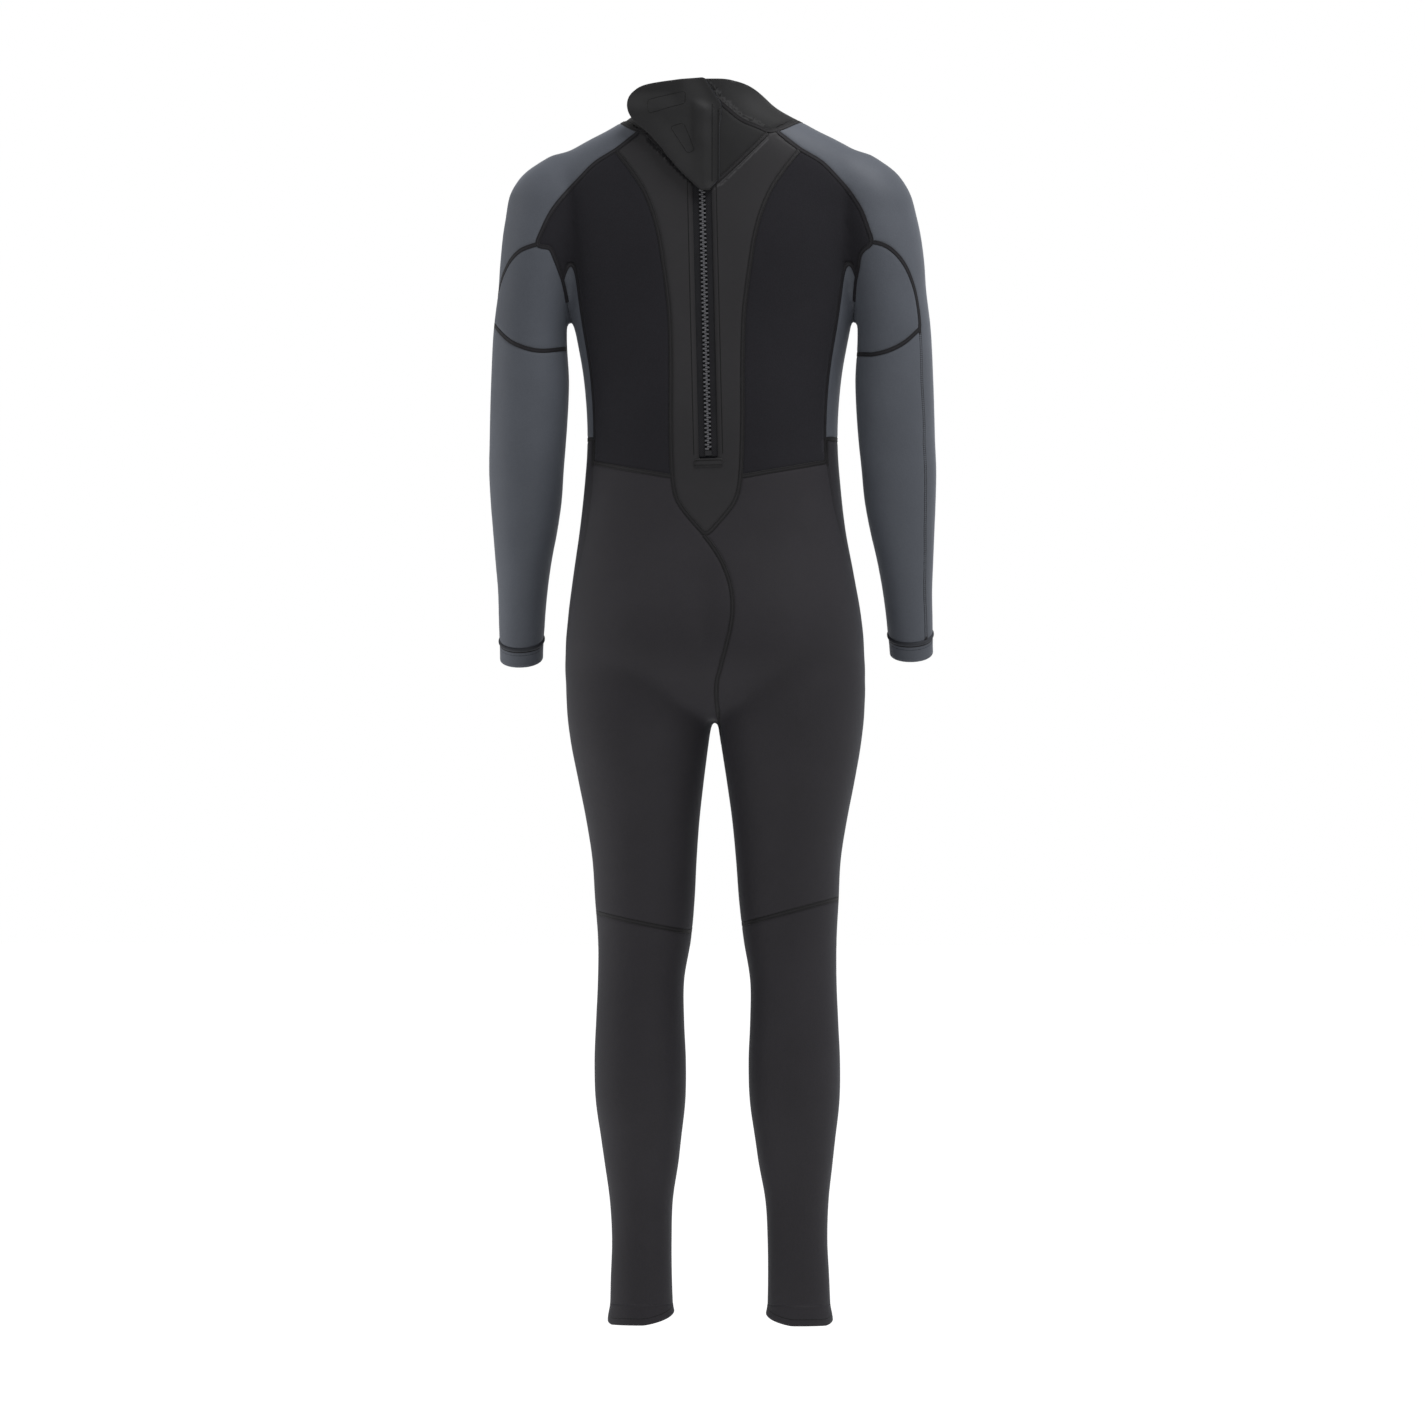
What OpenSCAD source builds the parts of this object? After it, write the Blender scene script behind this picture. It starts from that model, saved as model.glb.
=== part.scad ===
// Full-length neoprene wetsuit with a back zip, standing as it is worn.
// Millimetres, +Z up, chest towards -Y, back and zip towards +Y, wearer's left at +X.
// The origin is on the floor plane under the middle of the suit, level with the ankle hems.

/* [Neoprene] */
// Thickness of the body panels
panel_t = 3.5; // [3:0.5:4]
// Gap between neighbouring panels, where the flatlock seam lies
seam_gap = 0.5; // [0.4:0.1:0.8]
// Thickness of the extra skin on the knees
knee_skin_t = 1.5; // [1:0.25:2]

/* [Bends] */
// Height of the elbow crease
elbow_z = 1065; // [1055:5:1075]
// Height of the knee crease
knee_z = 484; // [476:2:492]

/* [Openings] */
// Inside diameter of the wrist cuff
wrist_bore = 47; // [45:1:49]
// Inside diameter of the ankle hem
ankle_bore = 69; // [66:1:70]
// Length of the wrist cuff
cuff_l = 26; // [22:1:30]
// Height of the ankle hem
hem_h = 25; // [18:1:30]
// Forward slope of the forearm and its cuff, in degrees
forearm_slope = 16; // [14:1:18]

/* [Zip] */
// Length of the tooth chain
zip_l = 404; // [380:4:404]
// Distance from one tooth to the next on the same side
tooth_pitch = 5; // [4:0.25:6]
// Width of the slit between the neoprene edges, where the tapes show
slit_w = 23; // [20:0.5:24]
// Width of each zip tape, from the teeth to its outer edge
tape_w = 12.5; // [10:0.5:12.5]
// Width of the slider
slider_w = 11; // [10:0.5:11.5]
// Length of the slider
slider_l = 20; // [18:1:22]

/* [Collar flap] */
// Thickness of the collar flap
flap_t = 3; // [2.5:0.25:3.5]
// Bend radius of the closed flap around the neck
flap_r = 240; // [230:5:260]
// Stand-off of the closed flap from the zip's face
flap_gap = 9; // [9:0.5:10]

/* [Hidden] */

LEFT = 1;
RIGHT = -1;
ring_h = 1;                      // each section is a slice this thick
far = 400;                       // further than any part of the suit reaches in X or Y
tall = 1600;                     // higher than any part of the suit

// The back is straight from the foot of the zip to the nape, so that the slider runs true.
zip_low = [-2, 92, 1051];        // foot of the tooth chain, on the outer face of the back
zip_rake = 1.6;                  // the zip leans forward by this many degrees,
zip_lean = 1.5;                  // and towards the wearer's left by this many
function back_y(z) = zip_low[1] - (z - zip_low[2]) * tan(zip_rake);

// Torso sections: height, half width, middle in Y, depth in front and behind the middle.
torso_rows = [
    [722, 30, 5, 30, 36],
    [742, 118, 2, 62, 74],
    [770, 166, 0, 86, 104],
    [806, 178, 0, 95, 116],
    [848, 175, 0, 96, 117],
    [902, 169, 0, 99, 109],
    [957, 160, 0, 100, 99],
    [1011, 154, 0, 100, 94],
    [zip_low[2] - 25, 151, 0, 101, back_y(zip_low[2] - 25)],
    [1137, 155, 0, 106, back_y(1137)],
    [1210, 168, 0, 114, back_y(1210)],
    [1282, 180, 0, 117, back_y(1282)],
    [1336, 192, 0, 106, back_y(1336)],
    [1372, 199, 0, 89, back_y(1372)],
    [1390, 196, 0, 78, back_y(1390)],
    [1408, 180, 0, 67, back_y(1408)],
    [1426, 149, 3, 60, back_y(1426) - 3],
    [1436, 128, 6, 56, back_y(1436) - 6],
    [1446, 110, 10, 56, back_y(1446) - 10],
    [1455, 92, 14, 58, back_y(1455) - 14],
    [1465, 76, 16, 59, back_y(1465) - 16],
    [1475, 66, 16, 60, back_y(1475) - 16],
    [1508, 61, 16, 60, back_y(1508) - 16]
];

// Arm sections: height, distance from the middle plane, half width, middle in Y, half depth.
arm_rows = [
    [1411, 162, 26, 2, 30], [1387, 174, 47, 3, 47], [1368, 183, 52, 4, 53],
    [1331, 195, 52, 5, 56], [1276, 208, 48, 6, 57], [1246, 213, 45, 7, 56],
    [1205, 219, 44, 8, 55], [1131, 220, 47, 8, 54], [1060, 223, 46, 6, 51],
    [1029, 225, 45, 1, 49], [993, 226, 43, -6, 46], [957, 228, 39, -15, 43],
    [920, 231, 34, -25, 39], [884, 233, 30, -36, 34], [848, 235, 28, -46, 31],
    [815, 236, 27, -55, 28], [780, 237, 27, -65, 28]
];

// Leg sections: the same five numbers as the arm.
leg_rows = [
    [830, 80, 68, 8, 78], [790, 86, 87, 8, 90], [744, 89, 89, 8, 94], [704, 91, 84, 6, 92],
    [655, 90, 76, 3, 85], [607, 88, 68, 0, 78], [559, 86, 62, -2, 71], [511, 86, 59, -4, 66],
    [463, 88, 55, -6, 63], [414, 91, 51, 2, 58], [366, 93, 52, 8, 60], [318, 93, 54, 12, 62],
    [270, 93, 53, 12, 59], [222, 93, 47, 8, 52], [198, 93, 44, 6, 48], [149, 94, 38, 2, 42],
    [101, 94, 36, 0, 39], [53, 95, 37, 0, 38], [15, 95, 38, 0, 38]
];

torso_n = 2.5;                   // 2 is an ellipse, more is a fuller section
limb_n = 2.1;
torso_steps = 36;
arm_steps = 20;
leg_steps = 24;

// Both legs stand a little towards the wearer's right, more so lower down.
crotch_z = 723;
function stance(z) = -3 - 6.5 * max(0, 1 - z / crotch_z);
function limb_ring(r, side, drift) =
    [r[0], side * r[1] + drift * stance(r[0]), r[2], r[3], r[4], r[4]];
function torso_ring(r) = [r[0], 0, r[1], r[2], r[3], r[4]];

// Closed outline of one section, drawn in by inset all round.
function oval(r, inset, n, steps) = [
    for (i = [0 : steps - 1])
        let (a = 360 * i / steps, c = cos(a), s = sin(a))
        [
            r[1] + (r[2] - inset) * sign(c) * pow(abs(c), 2 / n),
            r[3] + ((s < 0 ? r[4] : r[5]) - inset) * sign(s) * pow(abs(s), 2 / n)
        ]
];

module slice(r, inset, n, steps, drop)
    translate([0, 0, r[0] - drop]) linear_extrude(ring_h) polygon(oval(r, inset, n, steps));

// A skin through a list of sections. Rows above shoulder_z drop by the inset as well, and the
// lowest row rises by it, so that the inner skin keeps its distance on sloping ground.
shoulder_z = 1350;
module skin(rings, inset, n, steps, floor_row)
    for (i = [0 : len(rings) - 2])
        hull()
            for (j = [i, i + 1])
                slice(rings[j], inset, n, steps,
                      j == floor_row ? -inset : rings[j][0] > shoulder_z ? inset : 0);

module body(inset) {
    skin([for (r = torso_rows) torso_ring(r)], inset, torso_n, torso_steps, 0);
    for (side = [LEFT, RIGHT]) {
        skin([for (r = arm_rows) limb_ring(r, side, 0)], inset, limb_n, arm_steps, -1);
        skin([for (r = leg_rows) limb_ring(r, side, 1)], inset, limb_n, leg_steps, -1);
    }
}

// The rim of the neck is a plane that falls towards the throat.
rim_z = 1466.5;
rim_slope = 22.8;
module above_rim(grow = 0)
    translate([0, 0, rim_z - grow]) rotate([rim_slope, 0, 0]) translate([-far, -far, 0])
        cube([2 * far, 2 * far, far]);

module shell()
    difference() {
        body(0);
        body(panel_t);
        above_rim();
    }

// Frames. In the zip's frame X runs across, +Y is out of the back and Z runs up the chain.
module zip_frame() translate(zip_low) rotate([zip_rake, zip_lean, 0]) children();
module cuff_frame(side)
    translate([side * 236, -55, 815]) rotate([-forearm_slope, 0, 0]) children();

lip_t = 1.6;                     // neoprene lip over the zip tape
slit_low = -10;                  // the slit starts under the bottom stop and runs out at the rim,
slit_l = 500;                    // which it passes by a little
tape_bed_w = 35;                 // room for both tapes behind the lips
module zip_slot()
    zip_frame() {
        translate([-slit_w / 2, -20, slit_low]) cube([slit_w, 40, slit_l]);
        translate([-tape_bed_w / 2, -20, slit_low - 1]) cube([tape_bed_w, 20 - lip_t, slit_l]);
    }

// Seam outlines, drawn in X and Z, as pairs of half width and height.
centre_edge = [
    [3, 951], [24, 975], [38, 996], [41, 1022], [43, 1083], [43, 1157], [45, 1219],
    [53, 1282], [58, 1311], [66, 1339], [77, 1364], [92, 1387], [111, 1411], [86, 1429], [81, 1440]
];
neck_vee = [[73, 1431], [52, 1410], [25, 1384], [6, 1366]];
collar_dip = [[6, 1498], [22, 1467], [47, 1447], [74, 1433], [106, 1446], [150, 1480]];
throat_dip = [[0, 1410], [60, 1418], [104, 1444], [150, 1478]];
raglan_edge = [
    [86, 1429], [111, 1411], [136, 1396], [154, 1379], [172, 1360], [189, 1338], [200, 1316],
    [205, 1298], [191, 1294], [186, 1284], [181, 1270], [176, 1252], [173, 1228], [168, 1174],
    [164, 1100], [170, 1000], [186, 900], [192, 780]
];
gusset_edge = [
    [200, 1299], [218, 1294], [232, 1284], [243, 1268], [251, 1246], [256, 1207], [244, 1187],
    [230, 1177], [212, 1170], [196, 1168], [160, 1170], [160, 1290]
];
waist_edge = [[0, 1016], [42, 1019], [110, 1030], [200, 1042]];
seat_seam = [
    [4, 951], [-9, 934], [-23, 913], [-32, 890], [-32, 850], [-23, 816], [-13, 770], [-11, 700]
];
flap_edge = [
    [6, 1500], [30, 1500], [57, 1497], [76, 1494], [87, 1489], [93, 1483], [96, 1475],
    [95, 1463], [91, 1453], [82, 1443], [70, 1434], [57, 1419], [45, 1402], [33, 1389],
    [20, 1377], [6, 1364], [-7, 1371], [-7, 1467]
];
hook_upper = [[71, 1473], [26, 1484], [26, 1469], [70, 1457]];
hook_lower = [[44, 1441], [27, 1446], [13, 1413], [22, 1408]];
loop_edge = [[24, 1404], [50, 1436], [72, 1448], [70, 1476], [26, 1486], [16, 1452], [16, 1412]];
knee_edge = [
    [-34, 560], [-44, 540], [-46, 440], [-36, 412], [36, 412], [46, 440], [44, 540], [34, 560]
];

function flip(points) = [for (p = points) [-p[0], p[1]]];
function backwards(points) = [for (i = [len(points) - 1 : -1 : 0]) points[i]];

// A flat outline in X and Z, pushed through the suit from Y = from to Y = to.
module through(from, to, grow = 0)
    translate([0, to, 0]) rotate([90, 0, 0]) linear_extrude(to - from)
        offset(delta = grow) children();

module side_of(side) if (side == LEFT) children(); else mirror([1, 0, 0]) children();

module centre_outline() polygon(concat(centre_edge, neck_vee, flip(backwards(neck_vee)),
                                       flip(backwards(centre_edge))));
module neck_outline(side)
    side_of(side) polygon(concat(neck_vee, [[-slit_w, 1366], [-slit_w, 1510]], collar_dip));
module collar_outline(dip)
    polygon(concat(dip, [[150, 1600], [-150, 1600]], flip(backwards(dip))));
module trunk_outline()
    polygon(concat([[0, 1510], [60, 1510]], raglan_edge, [[-192, 780]],
                   flip(backwards(raglan_edge)), [[-60, 1510]]));
module arm_outline(side)
    side_of(side) polygon(concat([[60, 1510]], raglan_edge, [[far, 780], [far, 1510]]));
module above_waist_outline()
    polygon(concat(waist_edge, [[far, 1042], [far, 1600], [-far, 1600], [-far, 1042]],
                   flip(backwards(waist_edge))));
module gusset_outline(side) side_of(side) polygon(gusset_edge);
module left_of_seat_seam()
    polygon(concat([[4, 1100]], seat_seam, [[-11, 0], [far, 0], [far, 1100]]));

side_strip = 40;                 // half depth of the grey side panels
side_low = 1065;
side_high = 1272;
neck_mid = 10;                   // the collar's back and front patterns meet at this Y

module collar_zone(grow = 0) {
    through(neck_mid, far, grow) collar_outline(collar_dip);
    through(-far, neck_mid + 1, grow) collar_outline(throat_dip);
}
module centre_zone(grow = 0) through(0, far, grow) centre_outline();
module neck_zone(grow = 0)
    through(neck_mid, far, grow) {
        neck_outline(LEFT);
        neck_outline(RIGHT);
    }
module side_zone(grow = 0)
    translate([-far, -side_strip - grow, side_low - grow])
        cube([2 * far, 2 * (side_strip + grow), side_high - side_low + 2 * grow]);
module above_waist(grow = 0)
    difference() {
        through(-far, far, grow) above_waist_outline();
        translate([-far, -side_strip + grow, 0])
            cube([2 * far, 2 * (side_strip - grow), side_low - grow]);
    }
module gusset_zone(side, grow = 0) through(8, far, grow) gusset_outline(side);
module slab(low, high) translate([-far, -far, low]) cube([2 * far, 2 * far, high - low]);
module behind(y) translate([-far, y, 0]) cube([2 * far, far, tall]);
module ahead(y) translate([-far, y - far, 0]) cube([2 * far, far, tall]);
module half_of(side, gap = 0) side_of(side) translate([gap, -far, 0]) cube([far, 2 * far, tall]);

grey = [0.36, 0.38, 0.41];
plush = [0.13, 0.13, 0.15];
smooth = [0.18, 0.18, 0.19];
hard = [0.08, 0.08, 0.09];

// Upper body
module chest_panel()
    color(plush) difference() {
        intersection() {
            shell();
            through(-far, 0, -seam_gap / 2) trunk_outline();
            above_waist(-seam_gap / 2);
            ahead(-seam_gap / 2);
        }
        side_zone(seam_gap / 2);
        translate([-far, -side_strip, 0]) cube([2 * far, far, side_high]);
        collar_zone(seam_gap / 2);
    }

module centre_back_panel()
    color(smooth) difference() {
        intersection() {
            shell();
            centre_zone(-seam_gap / 2);
        }
        neck_zone(seam_gap / 2);
        collar_zone(seam_gap / 2);
        zip_slot();
    }

module back_panel(side)
    color(plush) difference() {
        intersection() {
            shell();
            through(0, far, -seam_gap / 2) trunk_outline();
            above_waist(-seam_gap / 2);
            behind(seam_gap / 2);
            slab(0, 1425);
            half_of(side);
        }
        side_zone(seam_gap / 2);
        translate([-far, side_strip - far, 0]) cube([2 * far, far, side_high]);
        centre_zone(seam_gap / 2);
        neck_zone(seam_gap / 2);
        collar_zone(seam_gap / 2);
    }

module side_panel(side)
    color(grey) intersection() {
        shell();
        side_zone(-seam_gap / 2);
        through(-far, far, -seam_gap / 2) trunk_outline();
        half_of(side);
    }

// Arms
module sleeve_upper(side)
    color(grey) difference() {
        intersection() {
            shell();
            through(-far, far, -seam_gap / 2) arm_outline(side);
            slab(elbow_z + seam_gap / 2, tall);
        }
        gusset_zone(side, seam_gap / 2);
        collar_zone(seam_gap / 2);
    }

module sleeve_lower(side)
    color(grey) intersection() {
        shell();
        through(-far, far, -seam_gap / 2) arm_outline(side);
        slab(0, elbow_z - seam_gap / 2);
        cuff_frame(side) translate([-100, -100, seam_gap / 2]) cube([200, 200, far]);
    }

module underarm_gusset(side)
    color(grey) intersection() {
        shell();
        gusset_zone(side, -seam_gap / 2);
        through(-far, far, -seam_gap / 2) arm_outline(side);
    }

module wrist_cuff(side)
    color(grey) cuff_frame(side) translate([0, 0, -cuff_l])
        difference() {
            cylinder(h = cuff_l - seam_gap / 2, d = wrist_bore + 2 * panel_t, $fn = 64);
            translate([0, 0, -1]) cylinder(h = cuff_l + 2, d = wrist_bore, $fn = 64);
        }

// Hips and legs
hip_top = 1100;                  // above the waist seam everywhere
leg_top = 790;                   // below this a thigh is wider than the trunk's outline
thigh_reach = 205;
module leg_half(side)
    if (side == LEFT) {
        through(0, far, -seam_gap / 2) left_of_seat_seam();
        translate([stance(crotch_z) + seam_gap / 2, -far, 0]) cube([far, far, hip_top]);
    } else
        difference() {
            slab(0, hip_top);
            through(-1, far, seam_gap / 2) left_of_seat_seam();
            translate([stance(crotch_z) - seam_gap / 2, -far, 0]) cube([far, far, hip_top]);
        }

module trunk_zone() through(-far, far, -seam_gap / 2) trunk_outline();
module leg_zone() translate([-thigh_reach, -far, 0]) cube([2 * thigh_reach, 2 * far, leg_top]);

module leg_panel(side)
    color(smooth) difference() {
        intersection() {
            shell();
            leg_half(side);
            slab(knee_z + seam_gap / 2, hip_top);
            union() {
                trunk_zone();
                leg_zone();
            }
        }
        above_waist(seam_gap / 2);
        centre_zone(seam_gap / 2);
        knee_cut(side);
    }

module calf_panel(side)
    color(smooth) difference() {
        intersection() {
            shell();
            slab(hem_h + seam_gap / 2, knee_z - seam_gap / 2);
            half_of(side);
        }
        knee_cut(side);
    }

module knee_zone(side, grow = 0)
    translate([side * 86 + stance(knee_z), 0, 0]) through(-far, -12, grow) polygon(knee_edge);
module knee_cut(side)
    intersection() {
        knee_zone(side, seam_gap / 2);
        difference() {
            body(-1);
            body(knee_skin_t + 0.3);
        }
    }

module knee_skin(side, low, high)
    color(hard) intersection() {
        difference() {
            body(0);
            body(knee_skin_t);
        }
        knee_zone(side);
        slab(low, high);
    }

module ankle_hem(side)
    color(smooth) translate([side * 95 + stance(0), 0, 0])
        difference() {
            cylinder(h = hem_h, d = ankle_bore + 2 * panel_t, $fn = 64);
            translate([0, 0, -1]) cylinder(h = hem_h + 2, d = ankle_bore, $fn = 64);
        }

// Neck
module collar(side)
    color(smooth) difference() {
        intersection() {
            shell();
            collar_zone(-seam_gap / 2);
            half_of(side, seam_gap / 2);
        }
        neck_zone(seam_gap / 2);
        zip_slot();
    }

module neck_panel(side)
    color(smooth) difference() {
        intersection() {
            shell();
            through(neck_mid, far, -seam_gap / 2) neck_outline(side);
            zip_frame() half_of(side);
        }
        through(neck_mid, far, seam_gap / 2) collar_outline(collar_dip);
        zip_slot();
    }

// The flap turns on its sewn edge, which runs up the back parallel to the zip's rake.
flap_edge_x = -7;
flap_mid = flap_gap + flap_t / 2;
module flap_frame()
    translate([flap_edge_x, back_y(1371) + flap_mid, 1371]) rotate([zip_rake, 0, 0])
        children();
module bent_plate(inner, thick, outline)
    intersection() {
        flap_frame() translate([0, -flap_r, -60])
            difference() {
                cylinder(h = 220, r = flap_r - flap_t / 2 + inner + thick, $fn = 180);
                translate([0, 0, -1])
                    cylinder(h = 222, r = flap_r - flap_t / 2 + inner, $fn = 180);
            }
        through(20, 150) polygon(outline);
    }

pad_t = 1.2;
module collar_flap() color(smooth) bent_plate(0, flap_t, flap_edge);
module hook_pad_upper() color(hard) bent_plate(-pad_t, pad_t, hook_upper);
module hook_pad_lower() color(hard) bent_plate(-pad_t, pad_t, hook_lower);
module flap_seam_strip()
    color(smooth) flap_frame()
        translate([-5, 0.3 - flap_mid, 1]) cube([4.6, flap_gap - 1.2, 94]);
module loop_pad()
    color(hard) difference() {
        intersection() {
            body(-pad_t - 0.2);
            through(neck_mid, far) polygon(loop_edge);
        }
        body(-0.2);
        above_rim(2);
    }

// Zip
tape_out = -1.9;                 // outer face of the tape, under the neoprene lips
tape_t = 0.8;
tooth_out = -0.8;
tooth_t = 3;
tooth_reach = 3.8;               // from the middle of the chain to the tape
web = 0.5;                       // half width of the lane between the two rows of teeth
tooth_h = tooth_pitch / 2 - 0.25;
teeth = floor(zip_l / tooth_pitch);

module zip_tape(side)
    color(hard) zip_frame() side_of(side)
        translate([tooth_reach, tape_out - tape_t, -8]) cube([tape_w, tape_t, zip_l + 14]);
module zip_teeth(side)
    color("dimgray") zip_frame() side_of(side)
        for (i = [0 : teeth - 1])
            translate([web, tooth_out - tooth_t, (i + (side == LEFT ? 0 : 0.5)) * tooth_pitch])
                cube([tooth_reach - web, tooth_t, tooth_h]);
module zip_top_stops()
    color(hard) zip_frame()
        for (side = [LEFT, RIGHT])
            side_of(side) translate([1, tooth_out - tooth_t, zip_l + 1])
                cube([tooth_reach - 1, tooth_t, 4]);
module zip_bottom_stop()
    color(hard) zip_frame() translate([-tooth_reach, tooth_out - tooth_t, -7])
        cube([2 * tooth_reach, tooth_t, 6]);
module zip_end_patch()
    color(smooth) zip_frame() translate([-18, 0.3, -20]) cube([36, 1, 9]);
module zip_guard_flap()
    color(plush) intersection() {
        zip_frame() translate([-35, -9.8, -10]) cube([80, 3, zip_l + 16]);
        body(panel_t + 0.6);
    }

// Slider: two plates joined by a thin web that runs in the lane between the rows of teeth.
slider_z = zip_l - slider_l - 2;
plate_t = 1.2;
plate_gap = tooth_t + 0.6;
pin_r = 0.9;
pin_z = slider_z + slider_l - 4;
pin_y = 3.4;
lug_w = 1.2;
module zip_slider()
    color(hard) zip_frame() {
        plate_out = tooth_out + 0.3;
        translate([-slider_w / 2, plate_out, slider_z]) cube([slider_w, plate_t, slider_l]);
        translate([-slider_w / 2, plate_out - plate_gap - plate_t, slider_z])
            cube([slider_w, plate_t, slider_l]);
        translate([-0.3, plate_out - plate_gap - plate_t / 2, slider_z + 1])
            cube([0.6, plate_gap + plate_t, slider_l - 2]);
        for (side = [LEFT, RIGHT])
            side_of(side)
                translate([2.9, plate_out + plate_t / 2, pin_z - 2])
                    cube([lug_w, pin_y + 1.8 - plate_out - plate_t / 2, 4]);
        translate([-3.2, pin_y, pin_z]) rotate([0, 90, 0]) cylinder(h = 6.4, r = pin_r, $fn = 32);
    }

tab_l = 22;
module zip_pull_tab()
    color("dimgray") zip_frame() translate([0, pin_y, pin_z])
        difference() {
            union() {
                rotate([0, 90, 0]) translate([0, 0, -2.4]) cylinder(h = 4.8, r = 2, $fn = 32);
                translate([-2.4, -0.7, -tab_l]) cube([4.8, 1.4, tab_l - 1]);
                translate([0, 0.7, -tab_l]) rotate([90, 0, 0]) cylinder(h = 1.4, r = 3.2, $fn = 32);
            }
            rotate([0, 90, 0]) translate([0, 0, -4]) cylinder(h = 8, r = pin_r + 0.3, $fn = 32);
        }

chest_panel();
centre_back_panel();
back_panel(LEFT);  // back_panel_left
back_panel(RIGHT);  // back_panel_right
side_panel(LEFT);  // side_panel_left
side_panel(RIGHT);  // side_panel_right
sleeve_upper(LEFT);  // sleeve_upper_left
sleeve_upper(RIGHT);  // sleeve_upper_right
sleeve_lower(LEFT);  // sleeve_lower_left
sleeve_lower(RIGHT);  // sleeve_lower_right
underarm_gusset(LEFT);  // underarm_gusset_left
underarm_gusset(RIGHT);  // underarm_gusset_right
wrist_cuff(LEFT);  // wrist_cuff_left
wrist_cuff(RIGHT);  // wrist_cuff_right
leg_panel(LEFT);  // leg_panel_left
leg_panel(RIGHT);  // leg_panel_right
calf_panel(LEFT);  // calf_panel_left
calf_panel(RIGHT);  // calf_panel_right
knee_skin(LEFT, knee_z + seam_gap / 2, 600);  // knee_skin_upper_left
knee_skin(RIGHT, knee_z + seam_gap / 2, 600);  // knee_skin_upper_right
knee_skin(LEFT, 300, knee_z - seam_gap / 2);  // knee_skin_lower_left
knee_skin(RIGHT, 300, knee_z - seam_gap / 2);  // knee_skin_lower_right
ankle_hem(LEFT);  // ankle_hem_left
ankle_hem(RIGHT);  // ankle_hem_right
collar(LEFT);  // collar_left
collar(RIGHT);  // collar_right
neck_panel(LEFT);  // neck_panel_left
neck_panel(RIGHT);  // neck_panel_right
collar_flap();
flap_seam_strip();
hook_pad_upper();
hook_pad_lower();
loop_pad();
zip_tape(LEFT);  // zip_tape_left
zip_tape(RIGHT);  // zip_tape_right
zip_teeth(LEFT);  // zip_teeth_left
zip_teeth(RIGHT);  // zip_teeth_right
zip_top_stops();
zip_bottom_stop();
zip_end_patch();
zip_guard_flap();
zip_slider();
zip_pull_tab();
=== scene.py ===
"""Looks of the full wetsuit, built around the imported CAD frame.

One smooth body is lofted from the same section tables as the design, the neoprene panels are cut
out of it along their seam lines, and every seam gets a raised flatlock ribbon. Lengths here are
millimetres until a mesh is made, then metres.
"""

import math

import bmesh
import bpy
import numpy as np
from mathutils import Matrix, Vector
from mathutils.bvhtree import BVHTree


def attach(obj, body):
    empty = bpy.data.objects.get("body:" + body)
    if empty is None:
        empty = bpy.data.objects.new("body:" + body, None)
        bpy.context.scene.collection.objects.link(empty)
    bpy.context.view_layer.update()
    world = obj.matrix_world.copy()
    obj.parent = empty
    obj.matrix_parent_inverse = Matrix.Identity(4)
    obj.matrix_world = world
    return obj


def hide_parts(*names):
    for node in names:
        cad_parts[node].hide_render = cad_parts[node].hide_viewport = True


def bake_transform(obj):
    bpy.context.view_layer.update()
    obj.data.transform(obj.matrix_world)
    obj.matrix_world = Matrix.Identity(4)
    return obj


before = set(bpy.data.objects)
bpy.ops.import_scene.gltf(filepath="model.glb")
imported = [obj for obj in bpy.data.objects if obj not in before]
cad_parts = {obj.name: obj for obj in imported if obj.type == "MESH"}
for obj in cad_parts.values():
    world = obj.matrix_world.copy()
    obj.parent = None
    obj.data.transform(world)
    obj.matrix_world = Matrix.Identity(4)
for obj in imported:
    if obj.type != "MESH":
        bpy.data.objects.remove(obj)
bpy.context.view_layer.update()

MM = 0.001
LEFT, RIGHT = 1, -1
SIDES = {"left": LEFT, "right": RIGHT}

# ------------------------------------------------------------------ driving dimensions (mm)

PANEL_T = 3.2
ELBOW_Z, KNEE_Z = 1065.0, 484.0
HEM_H = 25.0
CUFF_TOP = {LEFT: 825.4, RIGHT: 833.0}        # the right sleeve is worn a little shorter
CUFF_L = {LEFT: 21.5, RIGHT: 21.7}
CUFF_SLOPE = math.radians(27)
ZIP_LOW = np.array([-2.0, 92.0, 1051.0])
ZIP_RAKE, ZIP_LEAN = math.radians(1.6), math.radians(1.5)
ZIP_L = 404.0
SLIT_HALF, SLIT_TOP_HALF = 11.3, 3.3
TOOTH_PITCH = 5.0
RIM_Z, RIM_SLOPE = 1462.0, math.tan(math.radians(22.8))
NECK_MID = 10.0
SIDE_STRIP, SIDE_BACK, SIDE_LOW, SIDE_HIGH = 40.0, 45.0, 1065.0, 1278.0
SIDE_INNER = 100.0                # the side panels lie further from the middle than this
CROTCH_Z, WAIST_FRONT = 723, 1041
CENTRE_TIP, SEAT_END = 951, 700   # the seat seam runs from the centre panel's tip to here
RAGLAN_END, ARM_SEAM_TOP = 1229, 1204
VOXEL = 4.0                       # the tubes are fused at this grain
ARM_ONLY = 196.0                  # low down, only the arms reach this far from the middle
ZIP_STITCH_X = 17.3               # the lock stitches beside the zip
PATCH_STITCH = {"upper": -12.8, "lower": -18.2}
SEAM_GAP = 0.2
CUT_MARGIN = 9.0                  # skin kept beyond a seam while a panel is being cut
EDGE_ROUND = 6.5                  # a panel sinks into its seam over this width
EDGE_LOOPS = (1.4, 3.2, 6.0)      # rows of vertices that carry that rounding
DEEP = 60.0                       # stands for far from any seam
SLOPE_LIMITS = (0.2, 1.5)         # how steep a field may be before its distance is held back
NEAR_ZERO = 1e-6
SHORTEST_LINE = 12.0
CRUMB_SHARE = 0.02

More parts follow.
